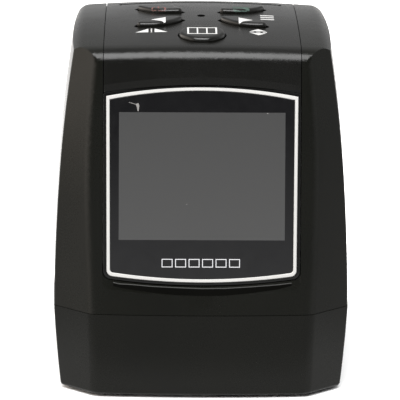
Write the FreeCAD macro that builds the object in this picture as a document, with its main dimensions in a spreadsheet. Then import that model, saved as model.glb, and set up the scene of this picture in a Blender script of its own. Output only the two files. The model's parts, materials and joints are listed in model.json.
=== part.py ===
import FreeCAD, Part
import Sketcher
import math
import os

# Desktop film negative scanner, 87 x 86 x 102 mm.
# +X right as seen from the front, +Y towards the back, +Z up; origin at the
# centre of the footprint on the surface it stands on.  The front leans back
# 12 degrees above the parting line, and the display, its trim ring and its
# bezel lie in that leaning plane.  Film passes through the body along X.

V = FreeCAD.Vector
doc = FreeCAD.newDocument("film_negative_scanner")

# ---------------------------------------------------------------- dimensions
DIMENSIONS = [
    # whole body
    ("foot_drop", 1.0, "gap under the base edge, filled by the feet"),
    ("parting", 25.5, "height of the parting line"),
    ("top_height", 102.0, "highest point of the crown"),
    ("front_y", 43.0, "front of the base at the parting line"),
    ("rear_y", 43.0, "back of the body at the parting line"),
    ("base_front_y", 41.6, "front of the base at its lower edge"),
    ("base_rear_y", 42.0, "back of the base at its lower edge"),
    ("step_in", 0.12, "upper housing set in from the base at the parting line"),
    ("lean", 12.0, "lean of the front above the parting line, degrees"),
    ("rear_lean", 1.31, "lean of the back above the parting line, degrees"),
    ("facet_angle", 40.0, "front corner facet in plan, degrees"),
    ("front_bow", 1.2, "bow of the front face over 31 mm each side"),
    ("rear_bow", 0.6, "bow of the back over 31 mm each side"),
    ("side_bow", 0.85, "bow of each side wall"),
    ("ridge_radius", 4.5, "radius between front face and facet"),
    ("corner_radius", 0.8, "radius between facet and side"),
    ("rear_radius", 11.0, "rear corner radius in plan"),
    ("crown_radius", 300.0, "crown of the top, front to back"),
    ("crown_y", 6.5, "place of the crown's highest point"),
    ("crown_drop", 1.3, "fall of the crown at 37 mm from the centre line"),
    ("roll_radius", 5.0, "radius between front or back and top"),
    ("wall", 2.0, "wall thickness of the housings"),
    ("ledge", 1.2, "thickness of the inner ledges"),
    ("shadow_gap", 0.12, "height of the gap at the parting line"),
    ("shadow_depth", 0.4, "depth of the gap at the parting line"),
    # half widths of the ridge and the side corner, by height
    ("ridge_low", 30.8, "ridge half width at the base's lower edge"),
    ("corner_low", 40.5, "side corner half width at the base's lower edge"),
    ("ridge_mid", 31.2, "ridge half width half way up the base"),
    ("corner_mid", 41.65, "side corner half width half way up the base"),
    ("ridge_a", 31.5, "ridge half width at the parting line"),
    ("corner_a", 42.4, "side corner half width at the parting line"),
    ("ridge_b", 32.1, "ridge half width 15 mm above the parting line"),
    ("corner_b", 42.1, "side corner half width 15 mm above it"),
    ("ridge_c", 32.6, "ridge half width 32.5 mm above it"),
    ("corner_c", 41.25, "side corner half width 32.5 mm above it"),
    ("ridge_d", 32.3, "ridge half width 49.5 mm above it"),
    ("corner_d", 39.87, "side corner half width 49.5 mm above it"),
    ("ridge_e", 31.2, "ridge half width 64.5 mm above it"),
    ("corner_e", 38.05, "side corner half width 64.5 mm above it"),
    ("ridge_f", 30.2, "ridge half width 78.5 mm above it"),
    ("corner_f", 35.95, "side corner half width 78.5 mm above it"),
    # film channel
    ("slot_half", 29.3, "half width of the film channel"),
    ("slot_top", 34.5, "roof of the film channel"),
    ("gate_half_x", 36.0, "half length of the film gate"),
    ("gate_plate", 2.0, "thickness of the film gate's plate"),
    ("rail", 2.5, "thickness of the film rails"),
    ("aperture_x", 37.0, "image aperture, along the film"),
    ("aperture_y", 25.0, "image aperture, across the film"),
    # screws and bosses
    ("boss_x", 28.5, "case screws, half spacing across"),
    ("boss_front", 35.4, "case screws, front row"),
    ("boss_rear", 35.6, "case screws, rear row"),
    ("boss_radius", 3.1, "case screw boss"),
    ("screw_radius", 1.25, "case screw shank"),
    ("head_radius", 2.5, "case screw head"),
    ("screw_clear", 1.6, "clearance bore in the base"),
    ("screw_bore", 1.3, "bore in the upper housing"),
    ("boss_top", 33.4, "top of the upper bosses"),
    # base
    ("cover_thick", 2.0, "bottom cover"),
    ("cover_bottom", 1.2, "underside of the bottom cover"),
    ("deck", 2.0, "deck under the film channel"),
    ("foot_radius", 4.2, "rubber foot"),
    ("foot_height", 1.8, "rubber foot"),
    ("foot_x", 30.0, "feet, half spacing across"),
    ("foot_front", 25.5, "feet, front row"),
    ("foot_rear", 26.5, "feet, rear row"),
    ("window_x", 20.0, "light window half length"),
    ("window_y", 14.0, "light window half width"),
    ("fit_gap", 0.1, "gap round fitted plates"),
    ("lightbox_x", 25.0, "light box half length"),
    ("lightbox_y", 19.0, "light box half width"),
    ("lightbox_wall", 1.2, "light box wall"),
    ("diffuser_thick", 1.2, "diffuser"),
    ("board", 1.2, "circuit board thickness"),
    # display, measured up the leaning plane from the parting line
    ("bezel_half", 28.3, "display opening half width"),
    ("bezel_proud", 1.0, "bezel in front of the display's base plane"),
    ("display_in", 1.7, "display's base plane behind the front face's centre line"),
    ("bezel_gap", 0.18, "gap round the bezel"),
    ("open_top", 66.0, "display opening's top on the centre line"),
    ("open_top_fall", 2.3, "fall of the top edge at the corners"),
    ("open_low", 8.45, "display opening's bottom on the centre line"),
    ("open_low_rise", 2.15, "rise of the bottom edge at the corners"),
    ("crease_top", 2.1, "upper crease above the opening's top"),
    ("crease_low", 2.8, "lower crease below the opening's bottom"),
    ("bevel_low", 0.24, "depth of the lower bevel at the opening"),
    ("bevel_top", 0.16, "depth of the upper bevel at the opening"),
    ("bezel_corner", 2.1, "lower corner radius of the opening"),
    ("ring_half", 27.35, "trim ring half width"),
    ("ring_width", 0.93, "trim ring width"),
    ("ring_top", 65.28, "trim ring top on the centre line"),
    ("ring_top_fall", 2.58, "its fall at the corners"),
    ("ring_low", 9.54, "trim ring bottom on the centre line"),
    ("ring_low_rise", 2.0, "its rise at the corners"),
    ("ring_proud", 0.12, "trim ring in front of the bezel"),
    ("lens_thick", 0.95, "display lens"),
    ("view_half", 23.7, "display window half width"),
    ("view_low", 21.7, "display window bottom"),
    ("view_top", 58.15, "display window top"),
    ("panel_half", 27.3, "display panel half width"),
    ("panel_thick", 1.2, "display panel"),
    ("frame_half", 28.1, "display frame half width"),
    ("gasket", 0.8, "display gasket"),
    ("bracket_half", 31.0, "display bracket half width"),
    ("bracket_thick", 1.2, "display bracket"),
    # top controls
    ("band_half", 28.1, "top panel half width"),
    ("seam_gap", 0.2, "gap at the seams"),
    ("band_rear", 92.2, "top panel's rear edge height"),
    ("button_gap", 0.28, "gap round the buttons"),
    ("button_rise", 1.3, "buttons above the surface"),
    ("round_radius", 6.75, "round button"),
    ("round_y", 14.4, "round button in front of the centre"),
    ("petal_in_x", 5.2, "petal button inner tip"),
    ("petal_in_y", 5.0, "petal button inner tip from the petals' centre"),
    ("petal_out_x", 19.2, "petal button outer tip"),
    ("petal_out_y", 12.4, "petal button outer tip from the petals' centre"),
    ("petal_half", 3.4, "petal button half width"),
    ("petal_tip", 1.3, "petal button tip radius"),
    ("petal_slit", 0.75, "petal holes longer than the buttons at each tip"),
    ("petal_y", 7.9, "centre of the four petal buttons"),
    ("flange", 0.9, "retaining flange round each button"),
    ("flange_thick", 0.9, "retaining flange"),
    ("stem_radius", 1.5, "button stem"),
    ("led_y", 8.7, "indicator light"),
    ("pipe_radius", 0.85, "light pipe"),
    ("keyboard_z", 92.4, "underside of the key board"),
    ("switch_size", 6.0, "tact switch"),
    ("switch_tall", 3.1, "tact switch body"),
    ("plunger_radius", 1.65, "tact switch plunger"),
    ("plunger_top", 97.4, "top of the plungers"),
    # optics
    ("chamber_low_x", 22.0, "optical chamber half length at the film gate"),
    ("chamber_low_y", 16.0, "optical chamber half width at the film gate"),
    ("chamber_high", 10.0, "optical chamber half size at the lens"),
    ("chamber_wall", 1.5, "optical chamber wall"),
    ("lens_z", 60.0, "top of the optical chamber"),
    ("barrel_radius", 5.0, "lens barrel"),
    ("sensor_z", 74.0, "underside of the sensor board"),
    # rear
    ("board_y", 30.0, "front face of the main board"),
    ("main_board", 1.6, "main board thickness"),
    ("rear_open_x", 27.0, "rear opening half width"),
    ("rear_open_low", 30.0, "rear opening bottom"),
    ("rear_open_top", 88.0, "rear opening top"),
    ("ledge_in", 4.5, "rear ledge width"),
    # detent
    ("detent_z", 30.0, "height of the film detent"),
    ("detent_radius", 1.5, "film detent pin"),
    ("detent_reach", 0.8, "film detent into the channel"),
]

sheet = doc.addObject("Spreadsheet::Sheet", "Dims")
for index, (alias, value, note) in enumerate(DIMENSIONS, start=1):
    sheet.set("A%d" % index, alias)
    sheet.set("B%d" % index, "%g" % value)
    sheet.setAlias("B%d" % index, alias)
    sheet.set("C%d" % index, note)
doc.recompute()


class Size:
    """A length with its value and the cell formula that gives it."""

    def __init__(self, v, f):
        self.v = float(v)
        self.f = f

    def __add__(self, other):
        return Size(self.v + val(other), "(%s + %s)" % (self.f, txt(other)))

    __radd__ = __add__

    def __sub__(self, other):
        return Size(self.v - val(other), "(%s - %s)" % (self.f, txt(other)))

    def __rsub__(self, other):
        return Size(val(other) - self.v, "(%s - %s)" % (txt(other), self.f))

    def __mul__(self, other):
        return Size(self.v * val(other), "(%s * %s)" % (self.f, txt(other)))

    __rmul__ = __mul__

    def __neg__(self):
        return Size(-self.v, "(0 - %s)" % self.f)


def val(x):
    return x.v if isinstance(x, Size) else float(x)


def txt(x):
    return x.f if isinstance(x, Size) else "%.6g" % x


class Cells:
    pass


D = Cells()
for alias, value, note in DIMENSIONS:
    setattr(D, alias, Size(value, "Dims." + alias))

# ------------------------------------------------------------- body builders


def bind(obj, prop, size):
    if isinstance(size, Size):
        obj.setExpression(prop, size.f)


def new_body(label):
    body = doc.addObject("PartDesign::Body", label)
    body.Label = label
    return body


ROLES = {"Z": "XY_Plane", "Y": "XZ_Plane", "X": "YZ_Plane"}


def new_sketch(body, axis, at):
    """A sketch square to an axis, at that coordinate along it."""
    name = "%s_sketch" % body.Name
    sk = body.newObject("Sketcher::SketchObject", name)
    for feature in body.Origin.OriginFeatures:
        if feature.Role == ROLES[axis]:
            sk.AttachmentSupport = [(feature, "")]
    sk.MapMode = "FlatFace"
    lift = -at if axis == "Y" else at
    sk.AttachmentOffset = FreeCAD.Placement(V(0, 0, val(lift)), FreeCAD.Rotation())
    bind(sk, "AttachmentOffset.Base.z", lift)
    return sk


def pin(sk, kind, geo, point, size):
    """Hold one coordinate of a point, counted from the sketch's origin."""
    k = sk.addConstraint(Sketcher.Constraint(kind, -1, 1, geo, point, val(size)))
    if isinstance(size, Size):
        name = "c%d" % k
        sk.renameConstraint(k, name)
        sk.setExpression("Constraints.%s" % name, size.f)


def draw_poly(sk, points):
    n = len(points)
    first = sk.GeometryCount
    for i in range(n):
        a, b = points[i], points[(i + 1) % n]
        sk.addGeometry(Part.LineSegment(V(val(a[0]), val(a[1]), 0), V(val(b[0]), val(b[1]), 0)))
    for i in range(n):
        sk.addConstraint(Sketcher.Constraint("Coincident", first + i, 2, first + (i + 1) % n, 1))
    for i, (x, y) in enumerate(points):
        pin(sk, "DistanceX", first + i, 1, x)
        pin(sk, "DistanceY", first + i, 1, y)


def draw_rect(sk, x0, x1, y0, y1):
    draw_poly(sk, [(x0, y0), (x1, y0), (x1, y1), (x0, y1)])


def draw_circle(sk, x, y, r):
    g = sk.addGeometry(Part.Circle(V(val(x), val(y), 0), V(0, 0, 1), val(r)))
    k = sk.addConstraint(Sketcher.Constraint("Radius", g, val(r)))
    if isinstance(r, Size):
        sk.renameConstraint(k, "c%d" % k)
        sk.setExpression("Constraints.c%d" % k, r.f)
    pin(sk, "DistanceX", g, 3, x)
    pin(sk, "DistanceY", g, 3, y)


def draw_lens(sk, inner, outer, half, grow=0.0):
    """Two arcs between two tips; grow moves the outline outwards."""
    dx, dy = val(outer[0]) - val(inner[0]), val(outer[1]) - val(inner[1])
    length = math.hypot(dx, dy)
    ux, uy = dx / length, dy / length
    h = val(half)
    tip = math.radians(90) - 2 * math.atan2(h, length / 2)
    ext = grow / math.cos(tip)
    a = (val(inner[0]) - ux * ext, val(inner[1]) - uy * ext)
    b = (val(outer[0]) + ux * ext, val(outer[1]) + uy * ext)
    mx, my = (a[0] + b[0]) / 2, (a[1] + b[1]) / 2
    m1 = V(mx - uy * (h + grow), my + ux * (h + grow), 0)
    m2 = V(mx + uy * (h + grow), my - ux * (h + grow), 0)
    A, B = V(a[0], a[1], 0), V(b[0], b[1], 0)
    one = sk.addGeometry(Part.Arc(A, m2, B))
    two = sk.addGeometry(Part.Arc(B, m1, A))
    sk.addConstraint(Sketcher.Constraint("Block", one))
    sk.addConstraint(Sketcher.Constraint("Block", two))


def pad(body, sk, length, reverse=False):
    feature = body.newObject("PartDesign::Pad", body.Name + "_pad")
    feature.Profile = sk
    feature.Length = val(length)
    bind(feature, "Length", length)
    feature.Reversed = reverse
    return feature


def pocket(body, sk, length, reverse=False):
    feature = body.newObject("PartDesign::Pocket", body.Name + "_pocket")
    feature.Profile = sk
    feature.Length = val(length)
    bind(feature, "Length", length)
    feature.Reversed = reverse
    return feature


def add_rects(body, axis, lo, hi, rects):
    """Pad rectangles between two coordinates along an axis."""
    sk = new_sketch(body, axis, hi if axis == "Y" else lo)
    for r in rects:
        draw_rect(sk, *r)
    return pad(body, sk, hi - lo)


def cut_rects(body, axis, lo, hi, rects):
    sk = new_sketch(body, axis, lo if axis == "Y" else hi)
    for r in rects:
        draw_rect(sk, *r)
    return pocket(body, sk, hi - lo)


def add_rounds(body, axis, lo, hi, rounds):
    sk = new_sketch(body, axis, hi if axis == "Y" else lo)
    for r in rounds:
        draw_circle(sk, *r)
    return pad(body, sk, hi - lo)


def cut_rounds(body, axis, lo, hi, rounds):
    sk = new_sketch(body, axis, lo if axis == "Y" else hi)
    for r in rounds:
        draw_circle(sk, *r)
    return pocket(body, sk, hi - lo)


def round_edges(body, base, radius, test):
    """Fillet the edges of a feature that pass a test on edge and middle point."""
    doc.recompute()
    names = []
    for i, edge in enumerate(base.Shape.Edges, start=1):
        mid = edge.valueAt((edge.FirstParameter + edge.LastParameter) / 2)
        if test(edge, mid):
            names.append("Edge%d" % i)
    feature = body.newObject("PartDesign::Fillet", body.Name + "_fillet")
    feature.Base = (base, names)
    feature.Radius = val(radius)
    bind(feature, "Radius", radius)
    return feature


def slab(label, x0, x1, y0, y1, z0, z1):
    body = new_body(label)
    add_rects(body, "Z", z0, z1, [(x0, x1, y0, y1)])
    return body


# ------------------------------------------------- primitives and booleans


def prim_box(name, x0, x1, y0, y1, z0, z1):
    o = doc.addObject("Part::Box", name)
    for prop, size in (("Length", x1 - x0), ("Width", y1 - y0), ("Height", z1 - z0)):
        setattr(o, prop, val(size))
        bind(o, prop, size)
    o.Placement = FreeCAD.Placement(V(val(x0), val(y0), val(z0)), FreeCAD.Rotation())
    for axis, size in (("x", x0), ("y", y0), ("z", z0)):
        bind(o, "Placement.Base.%s" % axis, size)
    return o


TURN = {"Z": FreeCAD.Rotation(), "Y": FreeCAD.Rotation(V(1, 0, 0), -90), "X": FreeCAD.Rotation(V(0, 1, 0), 90)}


def prim_round(name, x, y, z, r, length, axis="Z"):
    o = doc.addObject("Part::Cylinder", name)
    o.Radius, o.Height = val(r), val(length)
    bind(o, "Radius", r)
    bind(o, "Height", length)
    o.Placement = FreeCAD.Placement(V(val(x), val(y), val(z)), TURN[axis])
    for letter, size in (("x", x), ("y", y), ("z", z)):
        bind(o, "Placement.Base.%s" % letter, size)
    return o


def form(name, shape):
    o = doc.addObject("Part::Feature", name)
    o.Shape = shape
    return o


def cut(name, base, *tools):
    tool = tools[0]
    if len(tools) > 1:
        tool = doc.addObject("Part::MultiFuse", name + "_tools")
        tool.Shapes = list(tools)
    o = doc.addObject("Part::Cut", name)
    o.Base, o.Tool = base, tool
    return o


def fuse(name, *shapes):
    o = doc.addObject("Part::MultiFuse", name)
    o.Shapes = list(shapes)
    return o


def common(name, *shapes):
    o = doc.addObject("Part::MultiCommon", name)
    o.Shapes = list(shapes)
    return o


# ------------------------------------------------------- the housing's forms
# The body is bounded by a tube of plan sections (front, facets, sides, back)
# and by a crowned lid of side profiles.  Both are lofts, so their faces are
# free-form; each can be drawn moved inwards by t for the inside of a wall.

FACET = math.radians(D.facet_angle.v)
LEAN = math.radians(D.lean.v)
REAR = math.radians(D.rear_lean.v)
CF, SF, TF = math.cos(FACET), math.sin(FACET), math.tan(FACET)
CL = math.cos(LEAN)


def front_at(z):
    return -D.front_y.v + D.step_in.v + (z - D.parting.v) * math.tan(LEAN)


def rear_at(z):
    return D.rear_y.v - D.step_in.v - (z - D.parting.v) * math.tan(REAR)


def unit(x, y):
    n = math.hypot(x, y)
    return (x / n, y / n)


def corner(pa, ta, pb, tb):
    """Cubic from pa leaving along ta to pb arriving along tb."""
    det = -ta[0] * tb[1] + tb[0] * ta[1]
    dx, dy = pb[0] - pa[0], pb[1] - pa[1]
    u = (-dx * tb[1] + tb[0] * dy) / det
    w = (ta[1] * dx - ta[0] * dy) / det
    k = 0.56
    return [pa, (pa[0] + ta[0] * u * k, pa[1] + ta[1] * u * k), (pb[0] - tb[0] * w * k, pb[1] - tb[1] * w * k), pb]


def plan_section(z, ridge, side, y_front, y_rear, t):
    r_ridge = max(D.ridge_radius.v - t, 0.6)
    r_side = max(D.corner_radius.v - t, 0.8)
    bow, bulge, mid = D.front_bow.v, D.side_bow.v, 3.0
    p1 = (ridge - math.tan(FACET / 2) * t, y_front + bow * (ridge / 31) ** 2 + t)
    p2 = (side - t, p1[1] + (side - t - p1[0]) * TF)
    y0 = y_front + t
    k = (p1[1] - y0) / p1[0] ** 2
    d1 = r_ridge * math.tan(FACET / 2)
    a1 = (p1[0] - d1, y0 + k * (p1[0] - d1) ** 2)
    a2 = (p1[0] + d1 * CF, p1[1] + d1 * SF)
    d2 = r_side * math.tan((math.pi / 2 - FACET) / 2)
    a3 = (p2[0] - d2 * CF, p2[1] - d2 * SF)
    curve = bulge / (p2[1] - mid) ** 2

    def side_x(y):
        return side - t + bulge - curve * (y - mid) ** 2

    y4 = p2[1] + d2
    a4 = (side_x(y4), y4)
    y5 = y_rear - D.rear_radius.v
    a5 = (side_x(y5), y5)
    x6 = a5[0] - (D.rear_radius.v - t) - 0.3
    kr = D.rear_bow.v / 31**2
    a6 = (x6, y_rear - t - kr * x6 * x6)
    c1 = corner(a1, unit(1, 2 * k * a1[0]), a2, (CF, SF))
    c2 = corner(a3, (CF, SF), a4, unit(-2 * curve * (y4 - mid), 1))
    c3 = corner(a5, unit(-2 * curve * (y5 - mid), 1), a6, unit(-1, 2 * kr * x6))

    def point(p, side_sign=1):
        return V(side_sign * p[0], p[1], z)

    def bend(poles, side_sign=1):
        c = Part.BezierCurve()
        c.setPoles([point(p, side_sign) for p in poles])
        return c.toShape()

    def arc(a, b, c):
        return Part.Arc(a, b, c).toShape()

    def line(a, b):
        return Part.LineSegment(a, b).toShape()

    middle = side - t + bulge
    return Part.Wire(
        [
            arc(point(a1, -1), V(0, y0, z), point(a1)),
            bend(c1),
            line(point(a2), point(a3)),
            bend(c2),
            arc(point(a4), V(middle, mid, z), point(a5)),
            bend(c3),
            arc(point(a6), V(0, y_rear - t, z), point(a6, -1)),
            bend(c3[::-1], -1),
            arc(point(a5, -1), V(-middle, mid, z), point(a4, -1)),
            bend(c2[::-1], -1),
            line(point(a3, -1), point(a2, -1)),
            bend(c1[::-1], -1),
        ]
    )


UPPER = [
    (0.0, D.ridge_a, D.corner_a),
    (15.0, D.ridge_b, D.corner_b),
    (32.5, D.ridge_c, D.corner_c),
    (49.5, D.ridge_d, D.corner_d),
    (64.5, D.ridge_e, D.corner_e),
    (78.5, D.ridge_f, D.corner_f),
]


def upper_tube(t):
    wires = []
    for rise, ridge, side in UPPER:
        z = D.parting.v + rise
        set_in = D.step_in.v if rise == 0 else D.step_in.v * 0.5
        wires.append(plan_section(z, ridge.v, side.v - set_in, front_at(z), rear_at(z), t))
    return Part.makeLoft(wires, True, False)


def base_section(z, t, grow=0.0):
    """Plan section of the base at a height, between its three stations."""
    lo, hi = D.foot_drop.v, D.parting.v
    f = (z - lo) / (hi - lo)
    a, b, c = (1 - f) * (1 - 2 * f), 4 * f * (1 - f), f * (2 * f - 1)
    ridge = a * D.ridge_low.v + b * D.ridge_mid.v + c * D.ridge_a.v
    side = a * D.corner_low.v + b * D.corner_mid.v + c * D.corner_a.v
    y_front = -(D.base_front_y.v * (1 - f) + D.front_y.v * f)
    y_rear = D.base_rear_y.v * (1 - f) + D.rear_y.v * f
    return plan_section(z, ridge, side, y_front, y_rear, t - grow)


def base_tube(z0, z1, t):
    zs = [z0, (z0 + z1) / 2, z1]
    return Part.makeLoft([base_section(z, t) for z in zs], True, False)


def thin_plate(z0, z1, t):
    return Part.makeLoft([base_section(z, t) for z in (z0, z1)], True, True)


def crown_drop(x):
    return D.crown_drop.v * (x / 37) ** 2 + 0.13 * max(abs(x) - 33.8, 0) ** 2


def lid_profile(x, t):
    """Side profile of the lid at x: front roll, crown, rear roll."""
    roll = D.roll_radius.v - t if t < 4 else 1.0
    bow = D.front_bow.v
    sag = bow * (x / 31) ** 2 if abs(x) <= 31 else bow * (1 + 2 * (abs(x) - 31) / 31)
    big = D.crown_radius.v - t
    cy, cz = D.crown_y.v, D.top_height.v - crown_drop(x) - D.crown_radius.v
    inset = t + 0.006 + roll

    def roll_centre(p0, n, along):
        q = (p0[0] - n[0] * inset, p0[1] - n[1] * inset)
        b = 2 * ((q[0] - cy) * along[0] + (q[1] - cz) * along[1])
        c = (q[0] - cy) ** 2 + (q[1] - cz) ** 2 - (big - roll) ** 2
        u = (-b + math.sqrt(b * b - 4 * c)) / 2
        return (q[0] + u * along[0], q[1] + u * along[1])

    nf = (-math.cos(LEAN), math.sin(LEAN))
    nr = (math.cos(REAR), math.sin(REAR))
    z0 = D.parting.v
    cf = roll_centre((front_at(z0) + sag, z0), nf, (math.sin(LEAN), math.cos(LEAN)))
    cr = roll_centre((rear_at(z0) - D.rear_bow.v * (x / 31) ** 2, z0), nr, (-math.sin(REAR), math.cos(REAR)))
    rf, rr = unit(cf[0] - cy, cf[1] - cz), unit(cr[0] - cy, cr[1] - cz)
    mf, mr, mc = unit(nf[0] + rf[0], nf[1] + rf[1]), unit(nr[0] + rr[0], nr[1] + rr[1]), unit(rf[0] + rr[0], rf[1] + rr[1])

    def P(c, n, r):
        return V(x, c[0] + n[0] * r, c[1] + n[1] * r)

    t1, m1, t2 = P(cf, nf, roll), P(cf, mf, roll), P((cy, cz), rf, big)
    mid = P((cy, cz), mc, big)
    t3, m2, t4 = P((cy, cz), rr, big), P(cr, mr, roll), P(cr, nr, roll)
    far = [V(x, 70, 60), V(x, 70, 10), V(x, -70, 10), V(x, -70, 60)]
    edges = [Part.Arc(t1, m1, t2).toShape(), Part.Arc(t2, mid, t3).toShape(), Part.Arc(t3, m2, t4).toShape()]
    ends = [t4] + far + [t1]
    edges += [Part.LineSegment(ends[i], ends[i + 1]).toShape() for i in range(5)]
    return Part.Wire(edges)


STATIONS = [0, 8, 16, 24, 30, 33, 35, 37, 39, 41.5, 44, 47]


def lid(t):
    xs = [-x for x in STATIONS[:0:-1]] + STATIONS
    return Part.makeLoft([lid_profile(x, t) for x in xs], True, False)


def upper_form(t):
    return upper_tube(t).common(lid(t))


def surface_z(x, y):
    """Height of the crown at a point of the top."""
    return D.top_height.v - crown_drop(x) - D.crown_radius.v + math.sqrt(D.crown_radius.v**2 - (y - D.crown_y.v) ** 2)


# ------------------------------------------------------- the display's plane
# Local axes of the leaning plane: x across, y up the plane from the parting
# line, z outwards.

PLANE = FreeCAD.Placement(
    V(0, front_at(D.parting.v) + D.display_in.v * math.cos(LEAN), D.parting.v - D.display_in.v * math.sin(LEAN)),
    FreeCAD.Rotation(V(1, 0, 0), 90 - D.lean.v),
)


def lay_on_plane(o):
    o.Placement = PLANE
    o.setExpression("Placement.Base.y", "Dims.step_in - Dims.front_y + Dims.display_in * cos(Dims.lean)")
    o.setExpression("Placement.Base.z", "Dims.parting - Dims.display_in * sin(Dims.lean)")
    o.setExpression("Placement.Rotation.Angle", "90 - Dims.lean")
    return o


def screen_wire(half_low, half_top, low, rise, top, fall, radius, n):
    """Outline with a bowed top, a bowed bottom and round lower corners."""
    yl, yt = low + rise, top - fall
    r = radius
    # tangent of the lower bow where the corner takes over
    kx = half_low - r
    kl = rise / half_low**2
    b1 = (kx, low + kl * kx * kx)
    side = unit(half_top - half_low, yt - yl)
    b2 = (half_low + side[0] * r, yl + side[1] * r)
    c = corner(b1, unit(1, 2 * kl * kx), b2, side)

    def P(p, s=1):
        return V(s * p[0], p[1], n)

    def bend(poles, s=1):
        q = Part.BezierCurve()
        q.setPoles([P(p, s) for p in poles])
        return q.toShape()

    return Part.Wire(
        [
            Part.Arc(P(b1, -1), V(0, low, n), P(b1)).toShape(),
            bend(c),
            Part.LineSegment(P(b2), P((half_top, yt))).toShape(),
            Part.Arc(P((half_top, yt)), V(0, top, n), P((half_top, yt), -1)).toShape(),
            Part.LineSegment(P((half_top, yt), -1), P(b2, -1)).toShape(),
            bend(c[::-1], -1),
        ]
    )


def opening_wire(grow, n):
    h = D.bezel_half.v + grow
    return screen_wire(
        h, h, D.open_low.v - grow, D.open_low_rise.v, D.open_top.v + grow * 0.5, D.open_top_fall.v, D.bezel_corner.v + grow, n
    )


def ring_wire(inset, n):
    h = D.ring_half.v - inset
    return screen_wire(
        h - 0.25, h, D.ring_low.v + inset, D.ring_low_rise.v, D.ring_top.v - inset, D.ring_top_fall.v, max(1.5 - inset * 0.7, 0.5), n
    )


def prism(wire, length):
    return Part.Face(wire).extrude(V(0, 0, length))


def laid(shape):
    shape = shape.copy()
    shape.Placement = PLANE
    return shape


# shallow bevels above and below the display: the front dips a little from
# each crease to the opening, following its bow
def bowed_wire(half, low, rise, top, fall, radius, depth_low, depth_top, flat=None):
    """Outline like screen_wire's, lying on the bowed front or flat at a height."""
    kx = half - radius
    kl = rise / half**2
    b1 = (kx, low + kl * kx * kx)
    b2 = (half, low + rise + radius)
    bend = corner(b1, unit(1, 2 * kl * kx), b2, (0, 1))
    mid = 0.5 * (low + top)

    def at(x, y):
        if flat is not None:
            return V(x, y, flat)
        depth = depth_low if y < mid else depth_top
        return V(x, y, D.display_in.v - depth - D.front_bow.v * (x / 31) ** 2 * CL)

    def run(points):
        c = Part.BSplineCurve()
        c.interpolate([at(*q) for q in points])
        return c.toShape()

    def cubic(t):
        k = ((1 - t) ** 3, 3 * t * (1 - t) ** 2, 3 * t * t * (1 - t), t**3)
        return tuple(sum(k[i] * bend[i][m] for i in range(4)) for m in (0, 1))

    curve = [cubic(i / 4.0) for i in range(5)]
    lower = [(kx * i / 6.0, low + kl * (kx * i / 6.0) ** 2) for i in range(-6, 7)]
    upper = [(half * i / 6.0, top - fall * (i / 6.0) ** 2) for i in range(6, -7, -1)]
    side = [b2, (half, top - fall)]
    mirror = [(-x, y) for x, y in curve[::-1]]
    return Part.Wire(
        [
            run(lower),
            run(curve),
            Part.LineSegment(at(*side[0]), at(*side[1])).toShape(),
            run(upper),
            Part.LineSegment(at(-half, side[1][1]), at(-half, side[0][1])).toShape(),
            run(mirror),
        ]
    )


def dish_wire(grow_low, grow_top, depth_low, depth_top, flat=None):
    return bowed_wire(
        D.bezel_half.v + 0.02 * (grow_low > 0),
        D.open_low.v - grow_low,
        D.open_low_rise.v,
        D.open_top.v + grow_top,
        D.open_top_fall.v,
        D.bezel_corner.v,
        depth_low,
        depth_top,
        flat,
    )


low_depth, top_depth = D.bevel_low.v, D.bevel_top.v
dish = laid(
    Part.makeLoft(
        [
            dish_wire(0, 0, 0, 0, -2.0),
            dish_wire(0, 0, low_depth, top_depth),
            dish_wire(D.crease_low.v, D.crease_top.v, 0.0, 0.0),
            dish_wire(D.crease_low.v, D.crease_top.v, 0, 0, 6.0),
        ],
        True,
        True,
    )
)

outer = form("upper_outer_form", upper_form(0.0).cut(dish))
inner = form("upper_inner_form", upper_form(D.wall.v))
inner_ledge = form("upper_ledge_form", upper_form(D.wall.v + D.ledge.v))
shell = cut("upper_shell", outer, inner)
ledge_shell = cut("ledge_shell", inner, inner_ledge)

# ------------------------------------------------------------ upper housing
open_prism = screen_wire(
    D.bezel_half.v, D.bezel_half.v, D.open_low.v, D.open_low_rise.v, 99.0, 0.5, D.bezel_corner.v, -14.0
)
front_opening = form("front_opening", laid(prism(open_prism, 24.0)))
top_opening = prim_box("top_opening", -D.bezel_half, D.bezel_half, -24, 60, D.band_rear - D.seam_gap, 120)
film_opening = prim_box("film_opening", -60, 60, -D.slot_half, D.slot_half, D.parting - 1, D.slot_top)
rear_opening = prim_box(
    "rear_opening", -D.rear_open_x, D.rear_open_x, 36, 60, D.rear_open_low, D.rear_open_top
)
card_opening = prim_box("card_opening", -60, -34, 27.3, 29.8, 61.6, 86.4)
gap_ring = form(
    "parting_gap",
    thin_plate(D.parting.v - 0.5, D.parting.v + D.shadow_gap.v, -1.5).cut(
        thin_plate(D.parting.v - 1.0, D.parting.v + 1.0, D.shadow_depth.v + D.step_in.v)
    ),
)
hood_walls = cut("hood_walls", shell, front_opening, top_opening, film_opening, rear_opening, card_opening, gap_ring)

# ledges under the top panel and behind the rear panel
rail_left = prim_box("ledge_left", -31, -D.band_half + 1.9, -22, 39, 90, 110)
rail_right = prim_box("ledge_right", D.band_half - 1.9, 31, -22, 39, 90, 110)
top_rails = common("top_rails", ledge_shell, fuse("top_rail_boxes", rail_left, rail_right))
frame_out = prim_box(
    "rear_ledge_out", -(D.rear_open_x + 1.8), D.rear_open_x + 1.8, 34, 60, D.rear_open_low - 2, D.rear_open_top + 2
)
frame_in = prim_box(
    "rear_ledge_in",
    -(D.rear_open_x - D.ledge_in),
    D.rear_open_x - D.ledge_in,
    30,
    60,
    D.rear_open_low + D.ledge_in,
    D.rear_open_top - D.ledge_in,
)
rear_ledge = common("rear_ledge", ledge_shell, cut("rear_ledge_frame", frame_out, frame_in))

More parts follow.
